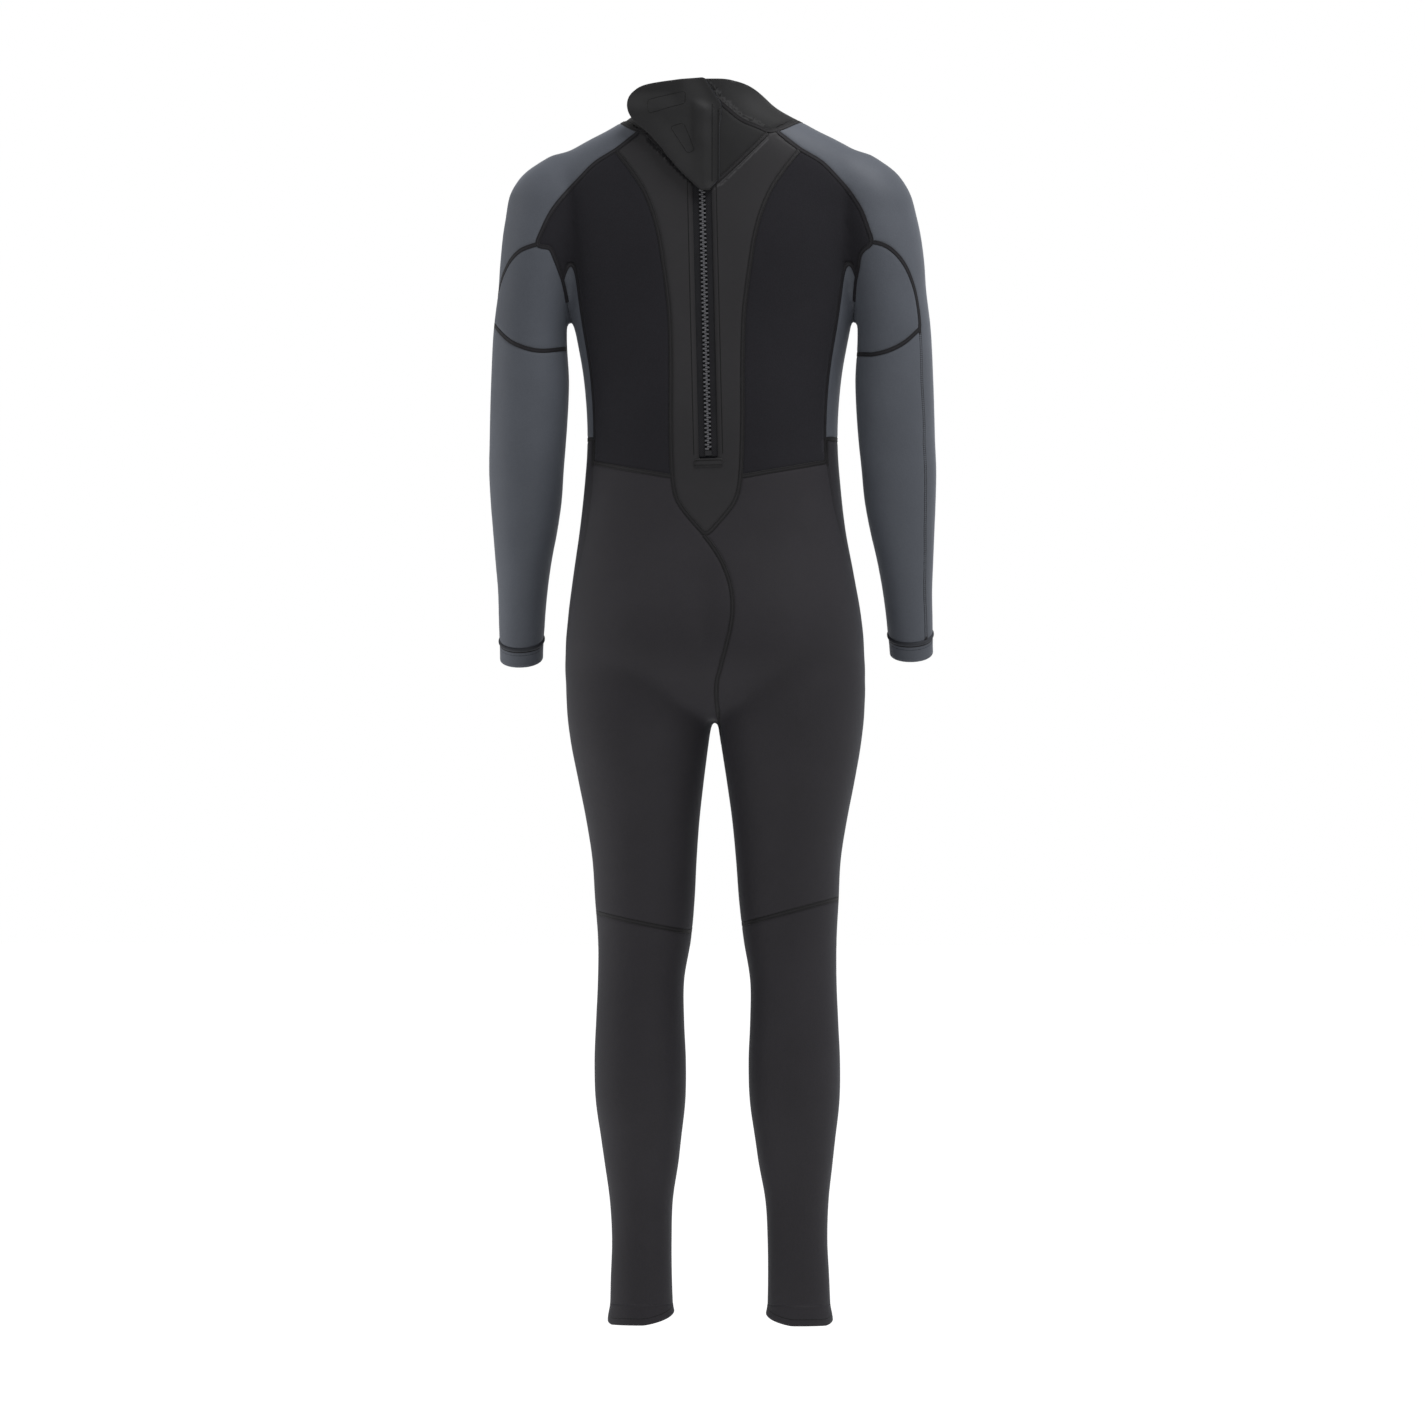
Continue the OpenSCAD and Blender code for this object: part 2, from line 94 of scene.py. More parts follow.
# Torso sections: height, half width, middle in Y, depth in front and behind the middle.
# A depth of None behind the middle means the straight line of the zip.
TORSO = [
    (729, 40, 5, 30, 44), (747, 120, 2, 62, 80), (770, 172, 0, 86, 100), (806, 180, 0, 95, 116),
    (848, 177, 0, 96, 117), (902, 169, 0, 99, 109), (957, 160, 0, 100, 99),
    (1011, 154, 0, 100, 94), (1051, 151, 0, 101, None), (1137, 155, 0, 106, None),
    (1210, 168, 0, 114, None), (1282, 180, 0, 117, None), (1336, 192, 0, 106, None),
    (1372, 199, 0, 89, None), (1390, 196, 0, 78, None), (1408, 180, 0, 67, None),
    (1426, 149, 3, 60, None), (1436, 128, 6, 56, None), (1446, 110, 10, 56, None),
    (1455, 92, 14, 58, None), (1465, 76, 16, 59, None), (1475, 66, 16, 60, None),
    (1508, 61, 16, 60, None), (1530, 61, 16, 60, None),
]
# Arm and leg sections: height, distance from the middle, half width, middle in Y, half depth.
ARM = [
    (1411, 162, 26, 2, 30), (1387, 174, 47, 3, 47), (1368, 183, 52, 4, 53),
    (1331, 195, 52, 5, 56), (1276, 208, 48, 6, 57), (1246, 213, 45, 7, 56),
    (1205, 219, 44, 8, 55), (1131, 220, 47, 8, 54), (1060, 223, 46, 6, 51),
    (1029, 225, 45, 1, 49), (993, 226, 43, -6, 46), (957, 228, 39, -15, 43),
    (920, 231, 34, -25, 39), (884, 233, 30, -36, 34), (848, 235, 28, -46, 31),
    (815, 236, 27, -55, 28), (770, 237, 27, -68, 28),
]
LEG = [
    (830, 80, 68, 8, 78), (790, 87, 91, 8, 90), (744, 91, 90, 8, 94), (704, 92, 85, 6, 92),
    (655, 91, 77, 3, 85), (607, 89, 69, 0, 78), (559, 87, 63, -2, 71), (511, 87, 60, -4, 66),
    (463, 88, 56, -6, 63), (414, 92, 52, 2, 58), (366, 93, 53, 8, 60), (318, 93, 55, 12, 62),
    (270, 93, 54, 12, 59), (222, 93, 48, 8, 52), (198, 93, 45, 6, 48), (149, 94, 38, 2, 42),
    (101, 94, 36, 0, 39), (53, 95, 37, 0, 38), (15, 95, 38, 0, 38), (-30, 95, 38, 0, 38),
]


def back_y(z):
    """The straight line of the back that the zip runs along."""
    return ZIP_LOW[1] - (z - ZIP_LOW[2]) * math.tan(ZIP_RAKE)


def stance(z):
    """Both legs stand a little to the wearer's right, more so lower down."""
    return -3 - 6.5 * np.clip(1 - np.asarray(z, float) / CROTCH_Z, 0, 1)


# ------------------------------------------------------------------ lofts and the fused body

def hermite(z, knots, values):
    """Smooth curve through values at the knots."""
    slopes = np.gradient(values, knots)
    i = np.clip(np.searchsorted(knots, z) - 1, 0, len(knots) - 2)
    h = knots[i + 1] - knots[i]
    t = (z - knots[i]) / h
    a, b = values[i], values[i + 1]
    m, n = slopes[i] * h, slopes[i + 1] * h
    return ((2 * t**3 - 3 * t**2 + 1) * a + (t**3 - 2 * t**2 + t) * m
            + (3 * t**2 - 2 * t**3) * b + (t**3 - t**2) * n)


def loft(rows, power, points, step=6.0):
    """Closed tube through rows of (z, x, half width, y, front depth, back depth)."""
    rows = np.array(sorted(rows), float)
    knots = rows[:, 0]
    z = np.linspace(knots[0], knots[-1], int((knots[-1] - knots[0]) / step) + 2)
    x, w, y, front, back = (hermite(z, knots, rows[:, k]) for k in range(1, 6))
    a = np.arange(points) * 2 * np.pi / points
    c, s = np.cos(a), np.sin(a)
    cx = np.sign(c) * np.abs(c) ** (2 / power)
    sy = np.sign(s) * np.abs(s) ** (2 / power)
    depth = np.where(s[None] < 0, front[:, None], back[:, None])
    px = x[:, None] + w[:, None] * cx[None]
    py = y[:, None] + depth * sy[None]
    pz = np.repeat(z[:, None], points, 1)
    verts = np.stack([px, py, pz], 2).reshape(-1, 3)
    n = len(z)
    faces = [(i * points + j, i * points + (j + 1) % points,
              (i + 1) * points + (j + 1) % points, (i + 1) * points + j)
             for i in range(n - 1) for j in range(points)]
    faces.append(tuple(range(points))[::-1])
    faces.append(tuple((n - 1) * points + j for j in range(points)))
    return verts, faces


def torso_rows():
    """The hips stand a little to the wearer's right of the chest."""
    return [(z, -3.0 * (1 - float(smoothstep(820, 980, z))), w, y, f,
             back_y(z) - y if b is None else b) for z, w, y, f, b in TORSO]


def arm_rows(side):
    """The left shoulder is a little broader."""
    broad = {z: 3.0 * math.exp(-((z - 1375) / 50) ** 2) if side == LEFT else 0 for z, *_ in ARM}
    return [(z, side * (x + broad[z]), w + broad[z], y, d, d) for z, x, w, y, d in ARM]


def leg_rows(side):
    """The left thigh is a little slimmer."""
    slim = {z: 1.5 * float(smoothstep(520, 680, z)) if side == LEFT else 0 for z, *_ in LEG}
    return [(z, side * (x - slim[z]) + float(stance(z)), w - slim[z], y, d, d)
            for z, x, w, y, d in LEG]


def unit(rows):
    """Every row at length 1."""
    return rows / np.maximum(np.linalg.norm(rows, axis=1, keepdims=True), 1e-12)


def vertex_normals(verts, faces):
    a, b, c = verts[faces[:, 0]], verts[faces[:, 1]], verts[faces[:, 2]]
    n = np.cross(b - a, c - a)
    out = np.zeros_like(verts)
    for k in range(3):
        np.add.at(out, faces[:, k], n)
    return unit(out)


def relax(verts, edges, weight, rounds, keep_size=True):
    """Laplacian smoothing; with keep_size each round is pushed back out again."""
    count = np.bincount(edges.ravel(), minlength=len(verts))[:, None]
    for _ in range(rounds):
        for push in ((0.5, -0.52) if keep_size else (0.5,)):
            mean = np.zeros_like(verts)
            for k in range(3):
                mean[:, k] = (np.bincount(edges[:, 0], verts[edges[:, 1], k], len(verts))
                              + np.bincount(edges[:, 1], verts[edges[:, 0], k], len(verts)))
            verts = verts + push * weight * (mean / count - verts)
    return verts


def hill(p, centre, spread):
    """A smooth bump from 1 at the centre to 0 far away; None leaves an axis out."""
    total = 0
    for k in range(3):
        if centre[k] is not None:
            total = total + ((p[:, k] - centre[k]) / spread[k]) ** 2
    return np.exp(-total)


def shape_muscles(p):
    """Gentle anatomy on the filled body: shoulder blades, spine, seat and knees."""
    y = p[:, 1].copy()
    back = np.clip((y - 10) / 40, 0, 1)
    front = np.clip((-y - 10) / 40, 0, 1)
    for side in (LEFT, RIGHT):
        y += back * 5.0 * hill(p, (side * 88, None, 1300), (46, 1, 70))
        y += back * 3.0 * hill(p, (side * 70, None, 1130), (40, 1, 110))
        y += back * 5.0 * hill(p, (side * 84, None, 842), (52, 1, 55))
        y -= back * 1.5 * hill(p, (side * 90, None, 752), (70, 1, 24))
        y -= front * 4.0 * hill(p, (side * 80, None, 1262), (60, 1, 45))
        y -= front * 4.0 * hill(p, (side * 86 - 5, None, 492), (34, 1, 34))
    y -= back * 4.0 * hill(p, (0, None, 820), (16, 1, 75))
    y += front * 4.0 * hill(p, (0, None, 1240), (16, 1, 90))
    p = p.copy()
    p[:, 1] = y
    return p


def read(items, key, width, kind=float):
    """A mesh property as an array, one row to each item."""
    out = np.zeros(len(items) * width, kind)
    items.foreach_get(key, out)
    return out.reshape(-1, width)


def link_new(name, data):
    """A new object in the scene."""
    obj = bpy.data.objects.new(name, data)
    bpy.context.scene.collection.objects.link(obj)
    return obj


def make_body():
    """The whole suit as one smooth closed skin: vertices, triangles and unit normals."""
    verts, faces = [], []
    parts = [loft(torso_rows(), 2.45, 96)]
    for side in (LEFT, RIGHT):
        parts.append(loft(arm_rows(side), 2.1, 48))
        parts.append(loft(leg_rows(side), 2.1, 64))
    for v, f in parts:
        base = sum(len(x) for x in verts)
        verts.append(v)
        faces += [tuple(i + base for i in face) for face in f]
    mesh = bpy.data.meshes.new("fused")
    mesh.from_pydata((np.concatenate(verts) * MM).tolist(), [], faces)
    obj = link_new("fused", mesh)
    remesh = obj.modifiers.new("fuse", "REMESH")
    remesh.mode = "VOXEL"
    remesh.voxel_size = VOXEL * MM
    result = bpy.data.meshes.new_from_object(
        obj.evaluated_get(bpy.context.evaluated_depsgraph_get()))
    bpy.data.objects.remove(obj)
    result.calc_loop_triangles()
    p = read(result.vertices, "co", 3) / MM
    tri = read(result.loop_triangles, "vertices", 3, np.int64)
    edges = read(result.edges, "vertices", 2, np.int64)
    bpy.data.meshes.remove(result)

    p = shape_muscles(p)
    p = relax(p, edges, 1.0, 12)
    ax = np.abs(p[:, 0])
    q = np.stack([ax, p[:, 1], p[:, 2]], 1)
    # where the tubes meet: armpits, shoulders, crotch, hips and seat are smoothed further
    joints = np.maximum.reduce([
        hill(q, (180, 0, 1278), (24, 90, 24)),
        hill(q, (165, None, 1400), (40, 1, 24)),
        hill(q, (3, None, 740), (20, 1, 20)) * 0.3,
        hill(q, (165, None, 800), (60, 1, 34)),
        hill(q, (90, None, 790), (90, 1, 40)) * 0.8,
    ])[:, None]
    p = relax(p, edges, joints, 40, keep_size=False)
    p = relax(p, edges, 1.0, 4)

    # the lane of the zip is flat, so that tapes, teeth and slider sit true on it
    u, _, v = zip_local(p)
    lane = (p[:, 1] > 0) & (v > -60) & (v < 470)
    pull = np.where(lane, 1 - smoothstep(18, 44, np.abs(u)), 0)
    pull = pull * smoothstep(-60, -20, v)
    p[:, 1] += pull * (back_y(p[:, 2]) - p[:, 1])
    # the ankle hems flare a little
    normal = vertex_normals(p, tri) * np.array([1, 1, 0])
    p = p + normal * (3.0 * (1 - smoothstep(5, 27, p[:, 2])) * (p[:, 2] < 40))[:, None]
    return p, tri, vertex_normals(p, tri)


def smoothstep(a, b, x):
    t = np.clip((np.asarray(x, float) - a) / (b - a), 0, 1)
    return t * t * (3 - 2 * t)


# ------------------------------------------------------------------ the zip's and cuffs' frames

def least(*values):
    return np.minimum.reduce(values)


def zip_matrix():
    """Columns are the zip's across, outward and along directions."""
    cr, sr, cl, sl = math.cos(ZIP_RAKE), math.sin(ZIP_RAKE), math.cos(ZIP_LEAN), math.sin(ZIP_LEAN)
    tilt = np.array([[1, 0, 0], [0, cr, -sr], [0, sr, cr]])
    lean = np.array([[cl, 0, sl], [0, 1, 0], [-sl, 0, cl]])
    return lean @ tilt


def zip_local(p):
    q = (p - ZIP_LOW) @ zip_matrix()
    return q[:, 0], q[:, 1], q[:, 2]


def zip_world(q):
    return np.asarray(q, float) @ zip_matrix().T + ZIP_LOW


def cuff_height(p, side):
    """Height above the cuff's upper edge, along the sloping forearm."""
    d = p - np.array([side * 236, -55, CUFF_TOP[side]])
    return d[:, 1] * math.sin(CUFF_SLOPE) + d[:, 2] * math.cos(CUFF_SLOPE)


# ------------------------------------------------------------------ seam outlines, in X and Z

CENTRE_EDGE = [(3, CENTRE_TIP), (24, 975), (36, 994), (41, 1022), (43, 1083), (43, 1157), (45, 1219),
               (53, 1282), (58, 1311), (66, 1339), (77, 1364), (92, 1387), (111, 1411)]
NECK_VEE = [(73, 1431), (52, 1410), (25, 1384), (0, 1362)]
COLLAR_DIP = {
    "left": [(-6, 1520), (6, 1498), (22, 1467), (47, 1447), (74, 1433), (106, 1446), (150, 1480)],
    "right": [(-6, 1520), (-5.5, 1500), (2.5, 1484), (12, 1471), (23, 1461), (41, 1446.5),
              (60, 1438.5), (77, 1433), (106, 1446), (150, 1480)],
}
THROAT_DIP = [(0, 1410), (60, 1418), (104, 1444), (150, 1478)]
RAGLAN = {
    "left": [(111, 1411), (136, 1396), (154, 1379), (172, 1360), (189, 1338), (200, 1316),
             (206, 1298), (191, 1294), (186, 1284), (181, 1270), (176, 1252), (172.5, 1228)],
    "right": [(111, 1411), (136, 1396), (153, 1379), (169, 1360), (183, 1338), (191, 1317),
              (196, 1299), (186, 1291), (181, 1283), (179, 1270), (175, 1252), (172.5, 1228)],
}
ARM_GAP = [(168, 1174), (164, 1100), (170, 1000), (186, 900), (192, 780)]
UNDER_HANDS = [(196, 762), (400, 755), (400, -200)]
# the two arms hang a little differently, so each gusset has its own outline
GUSSET_TOP = {
    "left": [(205, 1299), (216, 1296), (228, 1291), (240, 1280), (250, 1263), (257, 1244),
             (262, 1226), (265, 1207)],
    "right": [(194, 1300), (205, 1298.5), (217, 1293), (229, 1282), (239, 1266), (247, 1243),
              (251.5, 1218), (253.5, 1197)],
}
GUSSET_LOW = {
    "left": [(265, 1207), (251, 1192), (237, 1181), (216, 1173), (200, 1171), (183, 1173),
             (160, 1178)],
    "right": [(253.5, 1197), (237, 1181), (219, 1171), (200, 1166), (186, 1166), (160, 1169)],
}
SEAT_SEAM = [(4, CENTRE_TIP), (-9, 934), (-22, 912), (-31, 885), (-33, 856), (-28, 826), (-18, 790),
             (-12, 765), (-11, SEAT_END)]
FLAP_EDGE = [(6, 1497), (30, 1495), (57, 1492), (76, 1488.5), (87, 1483), (94, 1475),
             (96.5, 1466), (95, 1457), (90, 1448), (82, 1440), (70, 1430), (57, 1416),
             (45, 1400), (33, 1386), (20, 1373), (7, 1361)]
HOOK_UPPER = [(71, 1469.5), (26, 1480.5), (26, 1465.5), (70, 1453.5)]
HOOK_LOWER = [(44, 1437.5), (28, 1442.5), (14, 1410), (23, 1405)]
# where the long seams run, from the middle of the limb towards its back
ARM_SEAM = {"left": 0.05, "right": 0.68}
LEG_SEAM = {
    "left": [(0, 0), (484, -4), (700, 4), (780, 22), (836, 36), (880, 42), (906, 44),
             (953, 47), (1003, 47), (1065, 41)],
    "right": [(0, 0), (484, -6), (700, -8), (836, -6), (906, 8), (943, 27), (984, 38),
              (1035, 43), (1065, 41)],
}
KNEE_EDGE = [(-33, 562), (-43, 540), (-45, 484), (-43, 436), (-34, 412),
             (34, 412), (43, 436), (45, 484), (43, 540), (33, 562)]


def curve(points, step=3.0):
    """Catmull-Rom line through points, about step apart."""
    pts = np.array(points, float)
    pad = np.vstack([2 * pts[0] - pts[1], pts, 2 * pts[-1] - pts[-2]])
    out = []
    for i in range(len(pts) - 1):
        a, b, c, d = pad[i:i + 4]
        n = max(2, int(np.linalg.norm(c - b) / step))
        t = (np.arange(n) / n)[:, None]
        out.append(0.5 * (2 * b + (c - a) * t + (2 * a - 5 * b + 4 * c - d) * t**2
                          + (3 * b - a - 3 * c + d) * t**3))
    return np.vstack(out + [pts[-1:]])


def flip(points):
    return np.asarray(points, float) * np.array([-1, 1])


def chain(*runs):
    return np.vstack([np.asarray(r, float) for r in runs])


def inside(x, z, outline):
    """Signed distance to a closed outline, positive inside."""
    p = np.stack([x, z], 1)
    a = outline
    b = np.roll(outline, -1, 0)
    best = np.full(len(p), 1e18)
    odd = np.zeros(len(p), bool)
    for (ax, az), (bx, bz) in zip(a, b):
        dx, dz = bx - ax, bz - az
        length = dx * dx + dz * dz
        if length < 1e-12:
            continue
        t = np.clip(((p[:, 0] - ax) * dx + (p[:, 1] - az) * dz) / length, 0, 1)
        best = np.minimum(best, (p[:, 0] - ax - t * dx) ** 2 + (p[:, 1] - az - t * dz) ** 2)
        crosses = (az > p[:, 1]) != (bz > p[:, 1])
        if dz:
            odd ^= crosses & (p[:, 0] < ax + (p[:, 1] - az) / dz * dx)
    return np.where(odd, 1, -1) * np.sqrt(best)


def outlines():
    """All the closed outlines, by name."""
    centre = curve(CENTRE_EDGE)
    vee = curve(NECK_VEE)
    dip = {name: curve(COLLAR_DIP[name]) for name in SIDES}
    throat = curve(THROAT_DIP)
    raglan = {name: chain([(60, 1540), (84, 1432)], curve(RAGLAN[name]), curve(ARM_GAP),
                          UNDER_HANDS) for name in SIDES}
    gusset = {name: chain(curve(GUSSET_TOP[name]), curve(GUSSET_LOW[name]), [(160, 1300)])
              for name in SIDES}
    seat = curve(SEAT_SEAM)
    return {
        "centre": chain(centre, [(86, 1429), (80, 1440)], vee, flip(vee)[::-1],
                        [(-80, 1440), (-86, 1429)], flip(centre)[::-1]),
        "neck": chain(vee, flip(vee)[::-1], flip(dip["right"])[::-1], dip["left"]),
        "collar": chain(dip["left"], [(150, 1700), (-150, 1700)], flip(dip["right"])[::-1]),
        "throat": chain(throat, [(150, 1700), (-150, 1700)], flip(throat)[::-1]),
        "trunk": chain(raglan["left"], flip(raglan["right"])[::-1]),
        "seat": chain([(4, 1200)], seat, [(-11, -100), (400, -100), (400, 1200)]),
        "gusset_left": gusset["left"],
        "gusset_right": flip(gusset["right"])[::-1],
        "knee": np.array(KNEE_EDGE, float),
    }


OUTLINE = outlines()


# ------------------------------------------------------------------ cutting triangle meshes

def crossings(tri, value):
    """The triangles that value = 0 runs through: each has one odd corner a, cut off from b and c.

    Returns whether a is on the positive side, b, c, then for every cut edge its ends i and j and
    the share t from i to j, and for every triangle which cut lies on a-b and which on a-c."""
    up = value > 0
    count = up[tri].sum(1)
    mixed = tri[(count == 1) | (count == 2)]
    odd_up = up[mixed].sum(1) == 1
    odd = np.argmax(up[mixed] == odd_up[:, None], 1)
    rows = np.arange(len(mixed))
    a, b, c = (mixed[rows, (odd + k) % 3] for k in range(3))
    n = len(value)
    lo = np.concatenate([np.minimum(a, b), np.minimum(a, c)])
    hi = np.concatenate([np.maximum(a, b), np.maximum(a, c)])
    keys, where = np.unique(lo * n + hi, return_inverse=True)
    i, j = keys // n, keys % n
    t = (value[i] / (value[i] - value[j]))[:, None]
    return odd_up, a, b, c, i, j, t, where[:len(a)], where[len(a):]


def off_zero(value):
    """Keeps every value a little away from 0, so that no cut runs through a corner."""
    return np.where(np.abs(value) < NEAR_ZERO, NEAR_ZERO, value)


class Skin:
    """A triangle mesh whose rows carry position, normal and every seam distance."""

    def __init__(self, data, tri, names):
        self.data, self.tri, self.names = data, tri, names

    def col(self, name):
        return self.data[:, self.names[name]]

    def points(self):
        return self.data[:, :3]

    def normals(self):
        return unit(self.data[:, 3:6])

    def with_col(self, name, values):
        names = dict(self.names)
        names[name] = self.data.shape[1]
        return Skin(np.column_stack([self.data, values]), self.tri, names)

    def split(self, value, both):
        """Cuts every triangle along value = 0 and keeps the positive side, or both sides."""
        value = off_zero(value)
        count = (value > 0)[self.tri].sum(1)
        whole = self.tri[(count == 3) | (both & (count == 0))]
        odd_up, a, b, c, i, j, t, on_ab, on_ac = crossings(self.tri, value)
        if not len(a):
            return Skin(self.data, whole, self.names).compact()
        made = self.data[i] * (1 - t) + self.data[j] * t
        ab, ac = len(self.data) + on_ab, len(self.data) + on_ac
        tip = np.stack([a, ab, ac], 1)
        base = np.concatenate([np.stack([ab, b, c], 1), np.stack([ab, c, ac], 1)])
        base_up = np.concatenate([~odd_up, ~odd_up])
        parts = [whole, tip if both else tip[odd_up], base if both else base[base_up]]
        return Skin(np.vstack([self.data, made]), np.vstack(parts), self.names).compact()

    def compact(self):
        used = np.unique(self.tri)
        index = np.full(len(self.data), -1)
        index[used] = np.arange(len(used))
        return Skin(self.data[used], index[self.tri], self.names)

    def only_main(self):
        """Drops crumbs: separate bits with only a small share of the faces."""
        label = np.arange(len(self.data))
        while True:
            low = label[self.tri].min(1)
            new = label.copy()
            for k in range(3):
                np.minimum.at(new, self.tri[:, k], low)
            new = new[new]
            if (new == label).all():
                break
            label = new
        face = label[self.tri[:, 0]]
        names, counts = np.unique(face, return_counts=True)
        good = names[counts > CRUMB_SHARE * len(face)]
        return Skin(self.data, self.tri[np.isin(face, good)], self.names).compact()


def true_distance(skin, value):
    """Turns a field into a rough distance along the surface by dividing by its slope there."""
    p, tri = skin.points(), skin.tri
    a, b, c = p[tri[:, 0]], p[tri[:, 1]], p[tri[:, 2]]
    e1, e2 = b - a, c - a
    n = np.cross(e1, e2)
    area = np.maximum(np.linalg.norm(n, axis=1), 1e-9)
    across = n / area[:, None]
    f0, f1, f2 = value[tri[:, 0]], value[tri[:, 1]], value[tri[:, 2]]
    grad = (np.cross(across, c - b) * f0[:, None] + np.cross(across, a - c) * f1[:, None]
            + np.cross(across, b - a) * f2[:, None]) / area[:, None]
    slope = np.linalg.norm(grad, axis=1)
    total, weight = np.zeros(len(p)), np.zeros(len(p))
    for k in range(3):
        np.add.at(total, tri[:, k], slope * area)
        np.add.at(weight, tri[:, k], area)
    slope = total / np.maximum(weight, 1e-9)
    return value / np.clip(slope, *SLOPE_LIMITS)


def lines_on(skin, value, mask=None):
    """Ordered lines where value is 0 on the skin, as (points, normals, closed)."""
    *_, i, j, t, on_ab, on_ac = crossings(skin.tri, off_zero(value))
    pts = skin.points()[i] * (1 - t) + skin.points()[j] * t
    nrm = skin.normals()[i] * (1 - t) + skin.normals()[j] * t
    good = np.ones(len(i), bool)
    if mask is not None:
        good = (mask[i] * (1 - t[:, 0]) + mask[j] * t[:, 0]) > 0
    links = {}
    for s, e in zip(on_ab, on_ac):
        if good[s] and good[e] and s != e:
            links.setdefault(int(s), []).append(int(e))
            links.setdefault(int(e), []).append(int(s))
    done, out = set(), []
    starts = [k for k in sorted(links) if len(links[k]) == 1] + sorted(links)
    for start in starts:
        if start in done:
            continue
        line, here = [start], start
        done.add(start)
        while True:
            ahead = [k for k in links[here] if k not in done]
            if not ahead:
                break
            here = ahead[0]
            done.add(here)
            line.append(here)
        closed = len(line) > 3 and line[0] in links[here]
        p, q = pts[line], nrm[line]
        length = np.linalg.norm(np.diff(p, axis=0), axis=1).sum()
        if length >= SHORTEST_LINE:
            out.append(even_line(p, q, closed))
    return out


def soften(p, closed):
    """Each point a quarter of the way to both its neighbours; the ends of an open line stay."""
    if closed:
        core = p[:-1]
        core = 0.5 * core + 0.25 * (np.roll(core, 1, 0) + np.roll(core, -1, 0))
        return np.vstack([core, core[:1]])
    return np.vstack([p[:1], 0.5 * p[1:-1] + 0.25 * (p[:-2] + p[2:]), p[-1:]])


def even_line(p, q, closed, step=1.25, rounds=6):
    """Smooths a line and spaces its points evenly."""
    if closed:
        p, q = np.vstack([p, p[:1]]), np.vstack([q, q[:1]])
    s = np.concatenate([[0], np.cumsum(np.linalg.norm(np.diff(p, axis=0), axis=1))])
    keep = np.concatenate([[True], np.diff(s) > 1e-6])
    s, p, q = s[keep], p[keep], q[keep]
    n = max(3, int(s[-1] / step))
    at = np.linspace(0, s[-1], n + 1)
    p = np.stack([np.interp(at, s, p[:, k]) for k in range(3)], 1)
    q = np.stack([np.interp(at, s, q[:, k]) for k in range(3)], 1)
    for _ in range(rounds):
        p, q = soften(p, closed), soften(q, closed)
    return p, unit(q), closed


# ------------------------------------------------------------------ Blender objects

def mark_rest(mesh):
    """Stores each vertex's place at rest, which the materials read instead of the posed place."""
    co = read(mesh.vertices, "co", 3, np.float32).ravel()
    mesh.attributes.new("rest_place", "FLOAT_VECTOR", "POINT").data.foreach_set("vector", co)


def mark(mesh, key, values):
    """Stores one number for each vertex, for the materials to read."""
    mesh.attributes.new(key, "FLOAT", "POINT").data.foreach_set(
        "value", np.asarray(values, np.float32))


def new_object(name, verts, faces, materials, face_material=None, floats=None):
    mesh = bpy.data.meshes.new(name)
    mesh.from_pydata((np.asarray(verts, float) * MM).tolist(), [],
                     [tuple(int(i) for i in f) for f in faces])
    for m in materials:
        mesh.materials.append(m)
    if face_material is not None:
        mesh.polygons.foreach_set("material_index", np.asarray(face_material, np.int32))
    mesh.polygons.foreach_set("use_smooth", np.full(len(mesh.polygons), True))
    for key, values in (floats or {}).items():
        mark(mesh, key, values)
    mark_rest(mesh)
    mesh.update()
    return link_new(name, mesh)


def rim_edges(tri):
    """Directed edges that belong to one triangle only."""
    e = np.concatenate([tri[:, [0, 1]], tri[:, [1, 2]], tri[:, [2, 0]]])
    n = int(e.max()) + 1
    key = e[:, 0] * n + e[:, 1]
    back = e[:, 1] * n + e[:, 0]
    return e[~np.isin(key, back)]


def two_faced(name, tri, outer, inner, materials, gap):
    """A closed sheet: outer face and cut edge in the first material, inner face in the second."""
    count = len(outer)
    edge = rim_edges(tri)
    wall = np.stack([edge[:, 1], edge[:, 0], edge[:, 0] + count, edge[:, 1] + count], 1)
    faces = tri.tolist() + (tri[:, ::-1] + count).tolist() + wall.tolist()
    kind = [0] * len(tri) + [1] * len(tri) + [0] * len(wall)
    # seam_gap, the distance to the nearest seam, is what the materials paint seam shade from
    return new_object(name, np.vstack([outer, inner]), faces, materials, kind,
                      {"seam_gap": np.concatenate([gap, gap])})


def surface_area(skin):
    """In square metres."""
    p, t = skin.points() * MM, skin.tri
    return float(np.linalg.norm(np.cross(p[t[:, 1]] - p[t[:, 0]], p[t[:, 2]] - p[t[:, 0]]),
                                axis=1).sum() / 2)


SEAM_PROFILE = [(-2.7, -0.6), (-2.45, 0.28), (-1.75, 0.52), (-1.0, 0.30), (0.0, 0.44),
                (1.0, 0.30), (1.75, 0.52), (2.45, 0.28), (2.7, -0.6)]
STITCH_PROFILE = [(-0.75, -0.5), (-0.5, 0.16), (0.0, 0.34), (0.5, 0.16), (0.75, -0.5)]
FOLD_PROFILE = [(-3.2, -0.8), (-2.6, 0.9), (-1.2, 1.9), (0.0, 2.2), (1.2, 1.9), (2.6, 0.9),
                (3.2, -0.8)]


